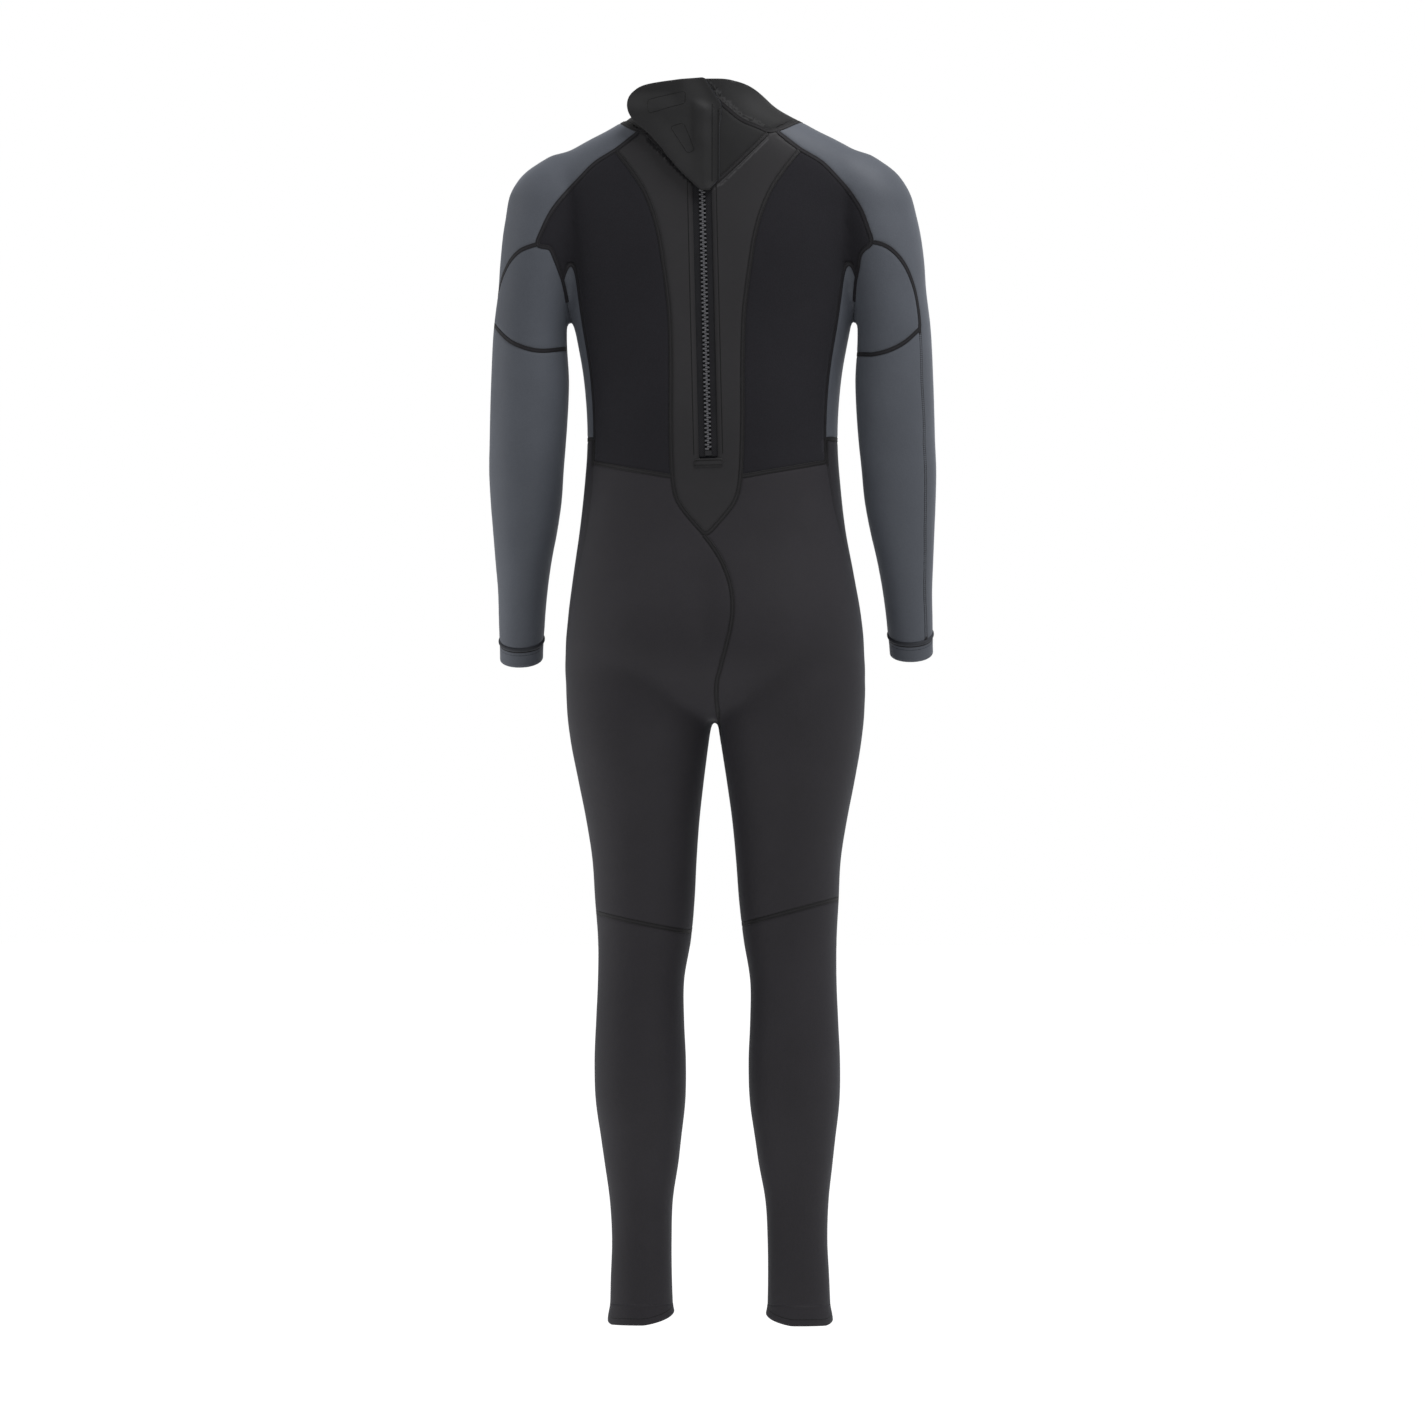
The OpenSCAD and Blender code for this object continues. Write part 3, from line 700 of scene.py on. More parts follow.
def ribbon(name, lines, profile, material, ripple=0.16, scale=1.0, lift=0.0):
    """A raised strip along every line, with the ripple of its stitches along it."""
    verts, faces, along, across = [], [], [], []
    base = 0
    prof = np.array(profile, float) * scale
    for p, n, closed in lines:
        tangent = np.gradient(p, axis=0)
        if closed:
            tangent[0] = tangent[-1] = p[1] - p[-2]
        tangent = unit(tangent)
        side = unit(np.cross(n, tangent))
        up = np.cross(tangent, side)
        wave = 1 - ripple * (np.arange(len(p)) % 2) * 2
        high = np.where(prof[None, :, 1] > 0, prof[None, :, 1] * wave[:, None], prof[None, :, 1])
        ring = (p[:, None, :] + side[:, None, :] * prof[None, :, :1]
                + up[:, None, :] * (high + lift)[:, :, None])
        k, m = len(p), len(prof)
        verts.append(ring.reshape(-1, 3))
        s = np.concatenate([[0], np.cumsum(np.linalg.norm(np.diff(p, axis=0), axis=1))])
        along.append(np.repeat(s, m))
        across.append(np.tile(prof[:, 0], k))
        for i in range(k - 1):
            for j in range(m):
                j2 = (j + 1) % m
                a, b = base + i * m + j, base + i * m + j2
                faces.append((a, b, b + m, a + m))
        faces.append(tuple(base + j for j in range(m))[::-1])
        faces.append(tuple(base + (k - 1) * m + j for j in range(m)))
        base += k * m
    floats = {"along": np.concatenate(along), "across": np.concatenate(across)}
    return new_object(name, np.vstack(verts), faces, [material], None, floats)


# ------------------------------------------------------------------ materials

def linear(hexcode):
    out = []
    for i in (0, 2, 4):
        v = int(hexcode[i:i + 2], 16) / 255
        out.append(v / 12.92 if v <= 0.04045 else ((v + 0.055) / 1.055) ** 2.4)
    return (*out, 1.0)


class Shader:
    """Small helper around one material's node tree."""

    def __init__(self, name):
        self.material = bpy.data.materials.new(name)
        self.material.use_nodes = True
        self.tree = self.material.node_tree
        self.bsdf = self.tree.nodes["Principled BSDF"]
        place = self.add("ShaderNodeAttribute")
        place.attribute_name = "rest_place"
        self.place = place.outputs["Vector"]

    def add(self, kind):
        return self.tree.nodes.new(kind)

    def link(self, a, b):
        self.tree.links.new(a, b)

    def set(self, **values):
        for key, value in values.items():
            self.bsdf.inputs[key.replace("_", " ")].default_value = value

    def noise(self, scale, detail=2.0, rough=0.5):
        node = self.add("ShaderNodeTexNoise")
        node.inputs["Scale"].default_value = scale
        node.inputs["Detail"].default_value = detail
        node.inputs["Roughness"].default_value = rough
        self.link(self.place, node.inputs["Vector"])
        return node.outputs["Fac"]

    def cells(self, scale):
        node = self.add("ShaderNodeTexVoronoi")
        node.inputs["Scale"].default_value = scale
        self.link(self.place, node.inputs["Vector"])
        return node.outputs["Distance"]

    def attribute(self, name):
        node = self.add("ShaderNodeAttribute")
        node.attribute_name = name
        return node.outputs["Fac"]

    def math(self, kind, a, b=None, c=None):
        node = self.add("ShaderNodeMath")
        node.operation = kind
        for i, v in enumerate((a, b, c)):
            if v is None:
                continue
            if isinstance(v, (int, float)):
                node.inputs[i].default_value = v
            else:
                self.link(v, node.inputs[i])
        return node.outputs[0]

    def remap(self, value, lo, hi, to_lo, to_hi):
        node = self.add("ShaderNodeMapRange")
        node.interpolation_type = "SMOOTHSTEP"
        self.link(value, node.inputs["Value"])
        for key, v in zip(("From Min", "From Max", "To Min", "To Max"), (lo, hi, to_lo, to_hi)):
            node.inputs[key].default_value = v
        return node.outputs["Result"]

    def tint(self, colour, *factors):
        """Base colour times each factor."""
        total = factors[0]
        for f in factors[1:]:
            total = self.math("MULTIPLY", total, f)
        node = self.add("ShaderNodeMix")
        node.data_type = "RGBA"
        node.blend_type = "MULTIPLY"
        node.inputs[0].default_value = 1.0
        node.inputs[6].default_value = colour
        grey = self.add("ShaderNodeCombineColor")
        for k in range(3):
            self.link(total, grey.inputs[k])
        self.link(grey.outputs[0], node.inputs[7])
        self.link(node.outputs[2], self.bsdf.inputs["Base Color"])

    def bump(self, height, distance, strength=1.0, after=None):
        node = self.add("ShaderNodeBump")
        node.inputs["Strength"].default_value = strength
        node.inputs["Distance"].default_value = distance
        self.link(height, node.inputs["Height"])
        if after is not None:
            self.link(after, node.inputs["Normal"])
        self.link(node.outputs["Normal"], self.bsdf.inputs["Normal"])
        return node.outputs["Normal"]


def jersey(name, colour, sheen, rough=0.72, pile=0.00012, mottling=0.06, seam_shade=0.72):
    """Knitted nylon over neoprene: fine loops, faint mottling, and painted shade that darkens it
    into the seams.
    """
    s = Shader(name)
    s.set(Roughness=rough, Sheen_Weight=sheen, Sheen_Roughness=0.45,
          Specular_IOR_Level=0.28)
    s.bsdf.inputs["Sheen Tint"].default_value = (0.75, 0.8, 0.9, 1)
    loops = s.cells(1500)
    rows = s.noise(900, 3)
    cloud = s.noise(16, 4, 0.6)
    slow = s.noise(5, 2)
    # painted shade: the colour darkens towards each seam, to seam_shade times at the seam itself
    near = s.remap(s.attribute("seam_gap"), 0.0, 5.0, seam_shade, 1.0)
    fleck = s.remap(rows, 0.25, 0.75, 1 - mottling, 1 + mottling)
    haze = s.remap(s.math("ADD", cloud, slow), 0.7, 1.3, 0.94, 1.06)
    s.tint(colour, near, fleck, haze)
    height = s.math("MULTIPLY_ADD", loops, 0.6, rows)
    first = s.bump(height, pile, 0.8)
    s.bump(cloud, 0.0012, 0.12, first)
    return s.material


def smoothskin(name, colour, rough=0.5):
    """Bare or lightly faced neoprene: satin, faintly dimpled, with soft creases and painted shade
    towards the seams.
    """
    s = Shader(name)
    s.set(Roughness=rough, Specular_IOR_Level=0.25, Sheen_Weight=0.04, Sheen_Roughness=0.5)
    grain = s.noise(1300, 2)
    cloud = s.noise(22, 4, 0.55)
    # painted shade: the colour darkens towards each seam and towards the flap's rim
    near = s.remap(s.attribute("seam_gap"), 0.0, 4.0, 0.8, 1.0)
    fleck = s.remap(grain, 0.3, 0.7, 0.95, 1.05)
    haze = s.remap(cloud, 0.3, 0.7, 0.92, 1.08)
    s.tint(colour, near, fleck, haze)
    first = s.bump(grain, 0.00008, 0.6)
    s.bump(cloud, 0.0015, 0.12, first)
    return s.material


def thread(name, colour, pitch=1.25, middle=1.7):
    """Sewing thread: rounded passes side by side along the seam; middle sets a painted highlight
    down its centre, against painted shade along both edges.
    """
    s = Shader(name)
    s.set(Roughness=0.6, Specular_IOR_Level=0.3, Sheen_Weight=0.06, Sheen_Roughness=0.4)
    phase = s.math("MULTIPLY", s.attribute("along"), 2 * math.pi / pitch)
    slant = s.math("MULTIPLY_ADD", s.attribute("across"), 1.4, phase)
    wave = s.math("MULTIPLY_ADD", s.math("SINE", slant), 0.5, 0.5)
    fuzz = s.noise(2600, 2)
    shade = s.remap(wave, 0.0, 1.0, 0.72, 1.18)
    fleck = s.remap(fuzz, 0.3, 0.7, 0.9, 1.1)
    # painted highlight down the seam's centre and painted shade along its edges
    painted_highlight_and_shade = s.remap(s.math("ABSOLUTE", s.attribute("across")), 0.3, 1.3, middle, 0.8)
    s.tint(colour, shade, fleck, painted_highlight_and_shade)
    s.bump(s.math("MULTIPLY_ADD", fuzz, 0.4, wave), 0.00018, 0.8)
    return s.material


def plastic(name, colour, rough, wear=0.08):
    """Moulded acetal or nylon, slightly scuffed."""
    s = Shader(name)
    s.set(Roughness=rough, Specular_IOR_Level=0.5)
    scuff = s.noise(420, 3, 0.6)
    fine = s.noise(2400, 2)
    s.tint(colour, s.remap(scuff, 0.3, 0.7, 1 - wear, 1 + wear))
    s.link(s.remap(scuff, 0.3, 0.7, rough - 0.06, rough + 0.08), s.bsdf.inputs["Roughness"])
    s.bump(fine, 0.00004, 0.5)
    return s.material


def weave(name, colour):
    """Woven tape: crossed ribs about 1.1 mm apart."""
    s = Shader(name)
    s.set(Roughness=0.8, Specular_IOR_Level=0.2, Sheen_Weight=0.1, Sheen_Roughness=0.4)
    split = s.add("ShaderNodeSeparateXYZ")
    s.link(s.place, split.inputs[0])
    warp = s.math("SINE", s.math("MULTIPLY", split.outputs[0], 2 * math.pi / 0.0022))
    weft = s.math("SINE", s.math("MULTIPLY", split.outputs[2], 2 * math.pi / 0.0022))
    cross = s.math("MULTIPLY_ADD", s.math("MULTIPLY", warp, weft), 0.5, 0.5)
    s.tint(colour, s.remap(cross, 0, 1, 0.35, 1.6), s.remap(s.noise(60, 3), 0.3, 0.7, 0.92, 1.08))
    s.bump(cross, 0.00015, 0.7)
    return s.material


def pile(name, colour, scale, height):
    """Hooks or loops of the closure: a field of small raised points."""
    s = Shader(name)
    s.set(Roughness=0.85, Specular_IOR_Level=0.2, Sheen_Weight=0.2, Sheen_Roughness=0.5)
    dots = s.cells(scale)
    s.tint(colour, s.remap(dots, 0.1, 0.6, 1.3, 0.6), s.remap(s.noise(80, 3), 0.3, 0.7, 0.9, 1.1))
    s.bump(s.remap(dots, 0.1, 0.6, 1.0, 0.0), height, 0.9)
    return s.material


MATERIAL = {
    "plush_jersey": jersey("plush_black", linear("222126"), 0.10, 0.9, 0.00022, 0.09, 0.7),
    "grey_jersey": jersey("grey_jersey", linear("5a5e66"), 0.22, 0.62),
    "gusset": jersey("gusset_grey", linear("565a62"), 0.20, 0.64),
    "black_jersey": jersey("black_jersey", linear("302e32"), 0.10, 0.7),
    "centre": jersey("centre_black", linear("302f31"), 0.08, 0.62, 0.00008, 0.04, 0.7),
    "smooth_neoprene": smoothskin("collar_neoprene", linear("272728"), 0.72),
    "knee_rubber": pile("knee_rubber", linear("1d1d1f"), 420, 0.0004),
    "lining": jersey("lining", linear("3a3b40"), 0.15, 0.8),
    "thread": thread("seam_thread", linear("1b1a1e")),
    "thread_soft": thread("seam_thread_black", linear("1a191b")),
    "fold": jersey("fold_grey", linear("44464c"), 0.15, 0.7),
    "stitch": thread("lock_stitch", linear("0c0c0d"), 2.2, 0.8),
    "hook_tape": pile("hook_tape", linear("1c1c1e"), 700, 0.0005),
    "loop_tape": pile("loop_tape", linear("232325"), 900, 0.0004),
    "zip_tape": weave("zip_tape", linear("232326")),
    "teeth": plastic("zip_teeth", linear("626266"), 0.34),
    "slider": plastic("zip_slider", linear("27272a"), 0.38),
}


# ------------------------------------------------------------------ fields over the body

def make_fields(p):
    """Every seam distance on the body's vertices, positive on the named side.

    Where a seam doesn't reach, its field holds a plain number well away from 0."""
    o = OUTLINE
    x, y, z = p[:, 0], p[:, 1], p[:, 2]
    u, _, v = zip_local(p)
    f = {}
    f["trunk"] = inside(x, z, o["trunk"])
    f["centre"] = np.where(y > 0, inside(x, z, o["centre"]), -40.0)
    dip = inside(x, z, o["collar"])
    throat = inside(x, z, o["throat"])
    behind = smoothstep(NECK_MID - 18, NECK_MID + 18, y)
    f["collar"] = dip * behind + throat * (1 - behind)
    f["neck"] = np.where(y > NECK_MID, inside(x, z, o["neck"]), -40.0)
    rise = np.interp(np.abs(x), [0, 42, 110, 160, 400],
                     [1016, 1019, 1031, WAIST_FRONT, WAIST_FRONT])
    rise = np.where(y > 0, rise, WAIST_FRONT)
    off_strip = np.maximum(y - SIDE_BACK, -y - SIDE_STRIP)
    f["waist"] = np.maximum(z - SIDE_LOW, np.minimum(z - rise, off_strip))
    half = SLIT_HALF - (SLIT_HALF - SLIT_TOP_HALF) * smoothstep(412, 432, v)
    f["slit"] = np.where((y > 0) & (v > -40), np.maximum(np.abs(u) - half, -10.5 - v), 40.0)
    f["rim"] = RIM_Z + RIM_SLOPE * y - z
    f["seat"] = np.where(y > 0, inside(x, z, o["seat"]), x - stance(CROTCH_Z))
    for name, side in SIDES.items():
        f["half_" + name] = side * x
        f["gusset_" + name] = np.minimum(inside(x, z, o["gusset_" + name]), y - 8)
        f["cuff_" + name] = np.where(side * x > ARM_ONLY, cuff_height(p, side), 500.0)
        f["knee_" + name] = np.where(
            y < 0, inside(x - side * 86 - float(stance(KNEE_Z)), z, o["knee"]), -60.0)
    # behind the knee the seams slope: outer end and inner end are at different heights
    lx = x - stance(z)
    tilt = np.where(lx > 0, np.interp(lx, [28, 145], [472, 496]),
                    np.interp(-lx, [28, 145], [481, 512]))
    f["knee_line"] = z - (KNEE_Z + (tilt - KNEE_Z) * smoothstep(-50, 0, y))
    # the long seam down the outside of the arm, and the one down the outside of the leg
    arm = np.array(sorted(ARM), float)
    mid, deep = np.interp(z, arm[:, 0], arm[:, 3]), np.interp(z, arm[:, 0], arm[:, 4])
    f["arm_seam"] = y - mid - np.where(x > 0, ARM_SEAM["left"], ARM_SEAM["right"]) * deep
    leg = {name: np.interp(z, *zip(*LEG_SEAM[name])) for name in SIDES}
    f["leg_seam"] = y - np.where(x > 0, leg["left"], leg["right"])
    return f


body_p, body_tri, body_n = make_body()
fields = make_fields(body_p)
names = {key: 6 + i for i, key in enumerate(fields)}
BODY = Skin(np.column_stack([body_p, body_n] + list(fields.values())), body_tri, names)
tree = BVHTree.FromPolygons(body_p.tolist(), body_tri.tolist())


def back_surface(x, z):
    """Where a line from behind meets the body."""
    hit = tree.ray_cast(Vector((x, 300, z)), Vector((0, -1, 0)))
    return hit[0].y if hit[0] is not None else -1000.0


def cut_panel(wanted):
    """The part of the body where every wanted field is positive, with its depth into the panel.

    A field is a column's name or a function of the skin, and a minus before the name asks for its
    other side. A seam lies along each cut, except where plain says that there is none."""
    skin = BODY
    keys = []
    for i, cut in enumerate(wanted):
        field, sign, seam = cut if isinstance(cut, tuple) else (cut, 1, True)
        if isinstance(field, str) and field[0] == "-":
            field, sign = field[1:], -sign
        value = sign * (skin.col(field) if isinstance(field, str) else field(skin))
        key = f"cut{i}"
        skin = skin.with_col(key, true_distance(skin, value) if seam else value)
        skin = skin.split(skin.col(key) + CUT_MARGIN, False)
        keys.append((key, seam))
    for key, seam in keys:
        skin = skin.split(skin.col(key) - (SEAM_GAP if seam else 0.0), False)
        if seam:
            for loop in EDGE_LOOPS:
                skin = skin.split(skin.col(key) - loop, True)
    depth = np.full(len(skin.data), DEEP)
    for key, seam in keys:
        if seam:
            depth = np.minimum(depth, skin.col(key))
    skin = skin.with_col("depth", depth)
    return skin.only_main()


def panel(name, wanted, material, nodes, body=None, bend=None, dip=0.9, thickness=PANEL_T,
          lift=0.0):
    """One neoprene panel: cut, thickened, dressed, and tied to its body; over a joint its transform
    is only baked.
    """
    skin = cut_panel(wanted)
    depth = skin.col("depth")
    sink = dip * (1 - smoothstep(0.0, EDGE_ROUND, depth)) ** 1.5
    p, n = skin.points(), skin.normals()
    obj = two_faced(name, skin.tri, p + n * (lift - sink)[:, None], p + n * (lift - thickness),
                    [MATERIAL[material], MATERIAL["lining"]], depth)
    tie(obj, body, bend)
    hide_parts(*nodes)
    area = surface_area(skin)


def tie(obj, body=None, bend=None):
    """Rides on a body, or, where a bend is given, only has its transform baked into the mesh."""
    if bend is None:
        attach(obj, body)
        return
    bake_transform(obj)


# ------------------------------------------------------------------ the panels

def side_fade(skin):
    """1 along the side panels, 0 above them, where the back meets the front at the middle."""
    return 1 - smoothstep(SIDE_HIGH - 2, SIDE_HIGH + 14, skin.points()[:, 2])


def on_back(skin):
    return skin.points()[:, 1] - SIDE_BACK * side_fade(skin)


def on_front(skin):
    return -skin.points()[:, 1] - SIDE_STRIP * side_fade(skin)


def on_side(skin):
    fade, x, y = side_fade(skin), skin.points()[:, 0], skin.points()[:, 1]
    return least(SIDE_BACK * fade - y, SIDE_STRIP * fade + y, np.abs(x) - SIDE_INNER)


def plain(field, sign=1):
    """A cut with no seam in it."""
    return field, sign, False


def make_panels():
    panel("chest_panel", ["trunk", on_front, "waist", "-collar"], "plush_jersey",
          ["chest_panel"], "suit")
    panel("centre_back_panel", ["centre", "-collar", "-neck", "slit"], "centre",
          ["centre_back_panel"], "suit")
    for name, side in SIDES.items():
        half, gusset, cuff, skin = (key + name for key in ("half_", "gusset_", "cuff_", "knee_"))
        half = plain(half)
        arm, shin = "forearm_" + name, "shin_" + name
        elbow, knee = (arm, ELBOW_Z), (shin, KNEE_Z)
        panel(f"back_panel_{name}",
              [half, "trunk", on_back, "waist", "-centre", "-collar", "-neck"],
              "plush_jersey", [f"back_panel_{name}"], "suit")
        panel(f"side_panel_{name}", [half, "trunk", on_side, "waist"],
              "grey_jersey", [f"side_panel_{name}"], "suit")
        panel(f"sleeve_{name}", [half, "-trunk", "-collar", "-" + gusset, cuff],
              "grey_jersey", [f"sleeve_upper_{name}", f"sleeve_lower_{name}"], None, elbow)
        panel(f"underarm_gusset_{name}", [half, gusset, "-trunk"],
              "gusset", [f"underarm_gusset_{name}"], "suit")
        panel(f"wrist_cuff_{name}", [half, "-" + cuff, plain(cuff_end(side))],
              "grey_jersey", [f"wrist_cuff_{name}"], arm, None, 0.6)
        panel(f"leg_panel_{name}", ["seat" if side == LEFT else "-seat", "trunk", "-waist",
                                    "-centre", "knee_line", "-" + skin],
              "black_jersey", [f"leg_panel_{name}"], None, knee)
        panel(f"calf_panel_{name}",
              [plain(leg_side(side)), "-knee_line", plain(above_hem), "-" + skin],
              "black_jersey", [f"calf_panel_{name}"], None, knee)
        panel(f"knee_skin_{name}", [skin], "knee_rubber",
              [f"knee_skin_upper_{name}", f"knee_skin_lower_{name}"], None, knee, 0.6)
        panel(f"ankle_hem_{name}",
              [plain(leg_side(side)), plain(above_hem, -1), plain(hem_edge(side))],
              "black_jersey", [f"ankle_hem_{name}"], shin, None, 0.5)
        panel(f"collar_{name}", [half, "collar", "-neck", plain("rim"), "slit"],
              "smooth_neoprene", [f"collar_{name}"], "suit")
        panel(f"neck_panel_{name}", [plain(zip_half(side)), "neck", plain("rim"), "slit"],
              "smooth_neoprene", [f"neck_panel_{name}"], "suit")


def cuff_end(side):
    return lambda skin: cuff_height(skin.points(), side) + CUFF_L[side]


def leg_side(side):
    return lambda skin: np.minimum(side * (skin.points()[:, 0] - stance(skin.points()[:, 2])),
                                   700 - skin.points()[:, 2])


def above_hem(skin):
    return skin.points()[:, 2] - HEM_H


def hem_height(p, side):
    """Height above the lower edge of the hem, which rises from the heel forwards."""
    x, y, z = p[:, 0] - stance(p[:, 2]), p[:, 1], p[:, 2]
    rise = 11 * (1 - y / 38) + 4.5 * (95 - side * x) / 36
    return z - np.clip(rise, 0, 16)


def hem_edge(side):
    return lambda skin: hem_height(skin.points(), side)


def zip_half(side):
    return lambda skin: side * zip_local(skin.points())[0]


make_panels()


# ------------------------------------------------------------------ the seams

def seam(name, value, mask, body=None, bend=None, profile=SEAM_PROFILE, colour="thread",
         scale=1.0, lift=-0.35, ripple=0.16):
    """A sewn seam along value = 0 where mask is positive."""
    obj = ribbon(name, lines_on(BODY, value, mask), profile, MATERIAL[colour], ripple, scale, lift)
    tie(obj, body, bend)


# the fold at the cuff's upper edge, a dark ribbon under it in the stitch colour as painted shadow of
# the fold, and the stitches below both
CUFF_LINES = [
    ("seam", 0.0, {"profile": FOLD_PROFILE, "scale": 0.9, "ripple": 0.05, "colour": "fold"}),
    # painted shadow under the fold, drawn as a dark ribbon in the stitch colour
    ("crease", 3.0, {"profile": STITCH_PROFILE, "colour": "stitch", "scale": 1.2, "lift": -0.1,
                     "ripple": 0.05}),
    ("stitch", 7.0, {"profile": STITCH_PROFILE, "colour": "fold", "lift": -0.1}),
]


def make_seams():
    c = {key: BODY.col(key) for key in BODY.names}
    p = BODY.points()
    x, y, z = p[:, 0], p[:, 1], p[:, 2]
    seam("seam_centre_back", c["centre"],
         least(y, -c["neck"] - 0.5, -c["collar"] - 0.5, 1425 - z), "suit", colour="thread_soft")
    seam("seam_neck", c["neck"], least(y - NECK_MID, -c["collar"] - 1, 1480 - z), "suit",
         colour="thread_soft")
    # on the right the collar seam starts where it comes out from under the flap
    seam("seam_collar", c["collar"], least(c["rim"], np.maximum(x - 6, -14 - x)), "suit",
         colour="thread_soft")
    seam("seam_waist", c["waist"], least(c["trunk"], -c["centre"], z - 900), "suit",
         colour="thread_soft")
    seam("seam_raglan", c["trunk"], least(-c["collar"], z - RAGLAN_END), "suit")
    seam("seam_side", least(SIDE_BACK - y, SIDE_STRIP + y),
         least(z - SIDE_LOW + 2, SIDE_HIGH + 6 - z, c["trunk"], np.abs(x) - SIDE_INNER), "suit")
    seam("seam_seat", c["seat"], least(CENTRE_TIP - 2 - z, z - SEAT_END, c["trunk"] + 30), "suit",
         colour="thread_soft")
    seam("seam_front", c["seat"], least(WAIST_FRONT - z, -y, z - SEAT_END, -c["waist"]), "suit",
         colour="thread_soft")
    for name, side in SIDES.items():
        half = side * x
        arm, shin = "forearm_" + name, "shin_" + name
        elbow, knee = (arm, ELBOW_Z), (shin, KNEE_Z)
        inner = inside(x, z, OUTLINE["gusset_" + name])
        seam(f"seam_gusset_{name}", inner, least(half, y - 8, -c["trunk"]), "suit")
        outer_arm = side * x - np.interp(z, [780, 920, 1060, 1206, 1246, 1400],
                                         [236, 231, 223, 219, 213, 180])
        seam(f"seam_arm_{name}", c["arm_seam"], least(half, outer_arm, ARM_SEAM_TOP - z,
                                                      c["cuff_" + name]), None, elbow)
        for kind, below, look in CUFF_LINES:
            seam(f"{kind}_cuff_{name}", c["cuff_" + name] + below, half - ARM_ONLY - 1, arm, **look)
        lx = side * (x - stance(z))
        seam(f"seam_knee_{name}", c["knee_line"],
             least(lx, -c["knee_" + name], 600 - z), None, knee, colour="thread_soft")
        seam(f"seam_knee_skin_{name}", c["knee_" + name], least(lx, -y - 2), None, knee,
             colour="thread_soft", scale=0.8)
        seam(f"seam_leg_{name}", c["leg_seam"], least(lx - 92, z - 14, -c["waist"] - 1,
                                                      c["trunk"]), None, knee,
             colour="thread_soft")
        seam(f"stitch_hem_{name}", hem_height(p, side) - 8, least(lx, 60 - z), shin,
             profile=STITCH_PROFILE, colour="stitch", lift=-0.1)


make_seams()


# ------------------------------------------------------------------ zip

def zip_seams():
    """Lock stitches that hold the tapes and the box at the zip's foot."""
    u, _, v = zip_local(BODY.points())
    near = least(BODY.points()[:, 1], v + 6, 372 - v)
    for name, side in SIDES.items():
        seam(f"stitch_zip_{name}", u - side * ZIP_STITCH_X, near, "suit", profile=STITCH_PROFILE,
             colour="stitch", lift=-0.05)
    panel("zip_end_patch_plate", [in_patch], "centre", ["zip_end_patch"], "suit",
          None, 0.3, 0.85, 0.9)
    for name, height in PATCH_STITCH.items():
        seam(f"stitch_zip_patch_{name}", v - height,
             least(16.8 - np.abs(u), BODY.points()[:, 1]), "suit",
             profile=STITCH_PROFILE, colour="stitch", lift=0.8)


def in_patch(skin):
    u, _, v = zip_local(skin.points())
    return least(17.8 - np.abs(u), 5.15 - np.abs(v + 15.8), skin.points()[:, 1] / 10)


def block(lo, hi, bevel):
    """The corner points of a box with chamfered edges, to be wrapped in a convex hull."""
    lo, hi = np.array(lo, float), np.array(hi, float)
    pts = []
    for sx in (0, 1):
        for sy in (0, 1):
            for sz in (0, 1):
                s = np.array([sx, sy, sz])
                corner = np.where(s == 1, hi, lo)
                inward = np.where(s == 1, -bevel, bevel)
                for k in range(3):
                    q = corner + inward
                    q[k] = corner[k]
                    pts.append(q)
    return pts


def hull_mesh(groups, to_world, name, material, body, nodes):
    """One object made of many convex lumps."""
    bm = bmesh.new()
    for pts in groups:
        made = [bm.verts.new(Vector(q) * MM) for q in to_world(np.array(pts))]
        out = bmesh.ops.convex_hull(bm, input=made)
        bmesh.ops.delete(bm, geom=[g for g in out["geom_interior"]
                                   if isinstance(g, bmesh.types.BMVert)], context="VERTS")
    mesh = bpy.data.meshes.new(name)
    bm.to_mesh(mesh)
    bm.free()
    mark_rest(mesh)
    mesh.materials.append(material)
    obj = link_new(name, mesh)
    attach(obj, body)
    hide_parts(*nodes)


def make_teeth():
    """Moulded teeth that interlock across the middle, each with a waist and a rounded head."""
    count = int(ZIP_L / TOOTH_PITCH)
    for name, side in SIDES.items():
        groups = []
        for i in range(count):
            v = (i + (0 if side == LEFT else 0.5)) * TOOTH_PITCH
            long = TOOTH_PITCH / 2 - 0.5
            # the foot on the tape, then the rounded head past the middle
            for part in ((0.7, 3.9, -3.7, -0.5, v, v + long, 0.45),
                         (-1.3, 1.4, -3.3, -0.8, v - 0.15, v + long + 0.15, 0.55)):
                a, b, w0, w1, z0, z1, bevel = part
                xs = sorted((side * a, side * b))
                groups.append(block((xs[0], w0, z0), (xs[1], w1, z1), bevel))
        hull_mesh(groups, zip_world, f"zip_teeth_{name}_row", MATERIAL["teeth"], "suit",
                  [f"zip_teeth_{name}"])


def make_slider():
    """Two plates, the thin web that joins them, the side walls and the tab's bridge."""
    top = ZIP_L - 22
    groups = [
        block((-5.5, -0.5, top), (5.5, 0.8, top + 20), 0.5),
        block((-5.5, -5.3, top), (5.5, -4.1, top + 20), 0.5),
        block((-0.3, -4.4, top + 1), (0.3, 0.0, top + 19), 0.1),
        block((2.9, 0.2, top + 13.8), (4.1, 5.2, top + 18.2), 0.4),
        block((-4.1, 0.2, top + 13.8), (-2.9, 5.2, top + 18.2), 0.4),
        block((-5.5, -0.9, top + 3), (-4.6, 0.9, top + 17), 0.3),
        block((4.6, -0.9, top + 3), (5.5, 0.9, top + 17), 0.3),
        block((-3.6, 2.6, top + 15.2), (3.6, 4.2, top + 16.8), 0.4),
    ]
    hull_mesh(groups, zip_world, "zip_slider_body", MATERIAL["slider"], "slider",
              ["zip_slider"])


zip_seams()
make_teeth()
make_slider()


# ------------------------------------------------------------------ collar flap

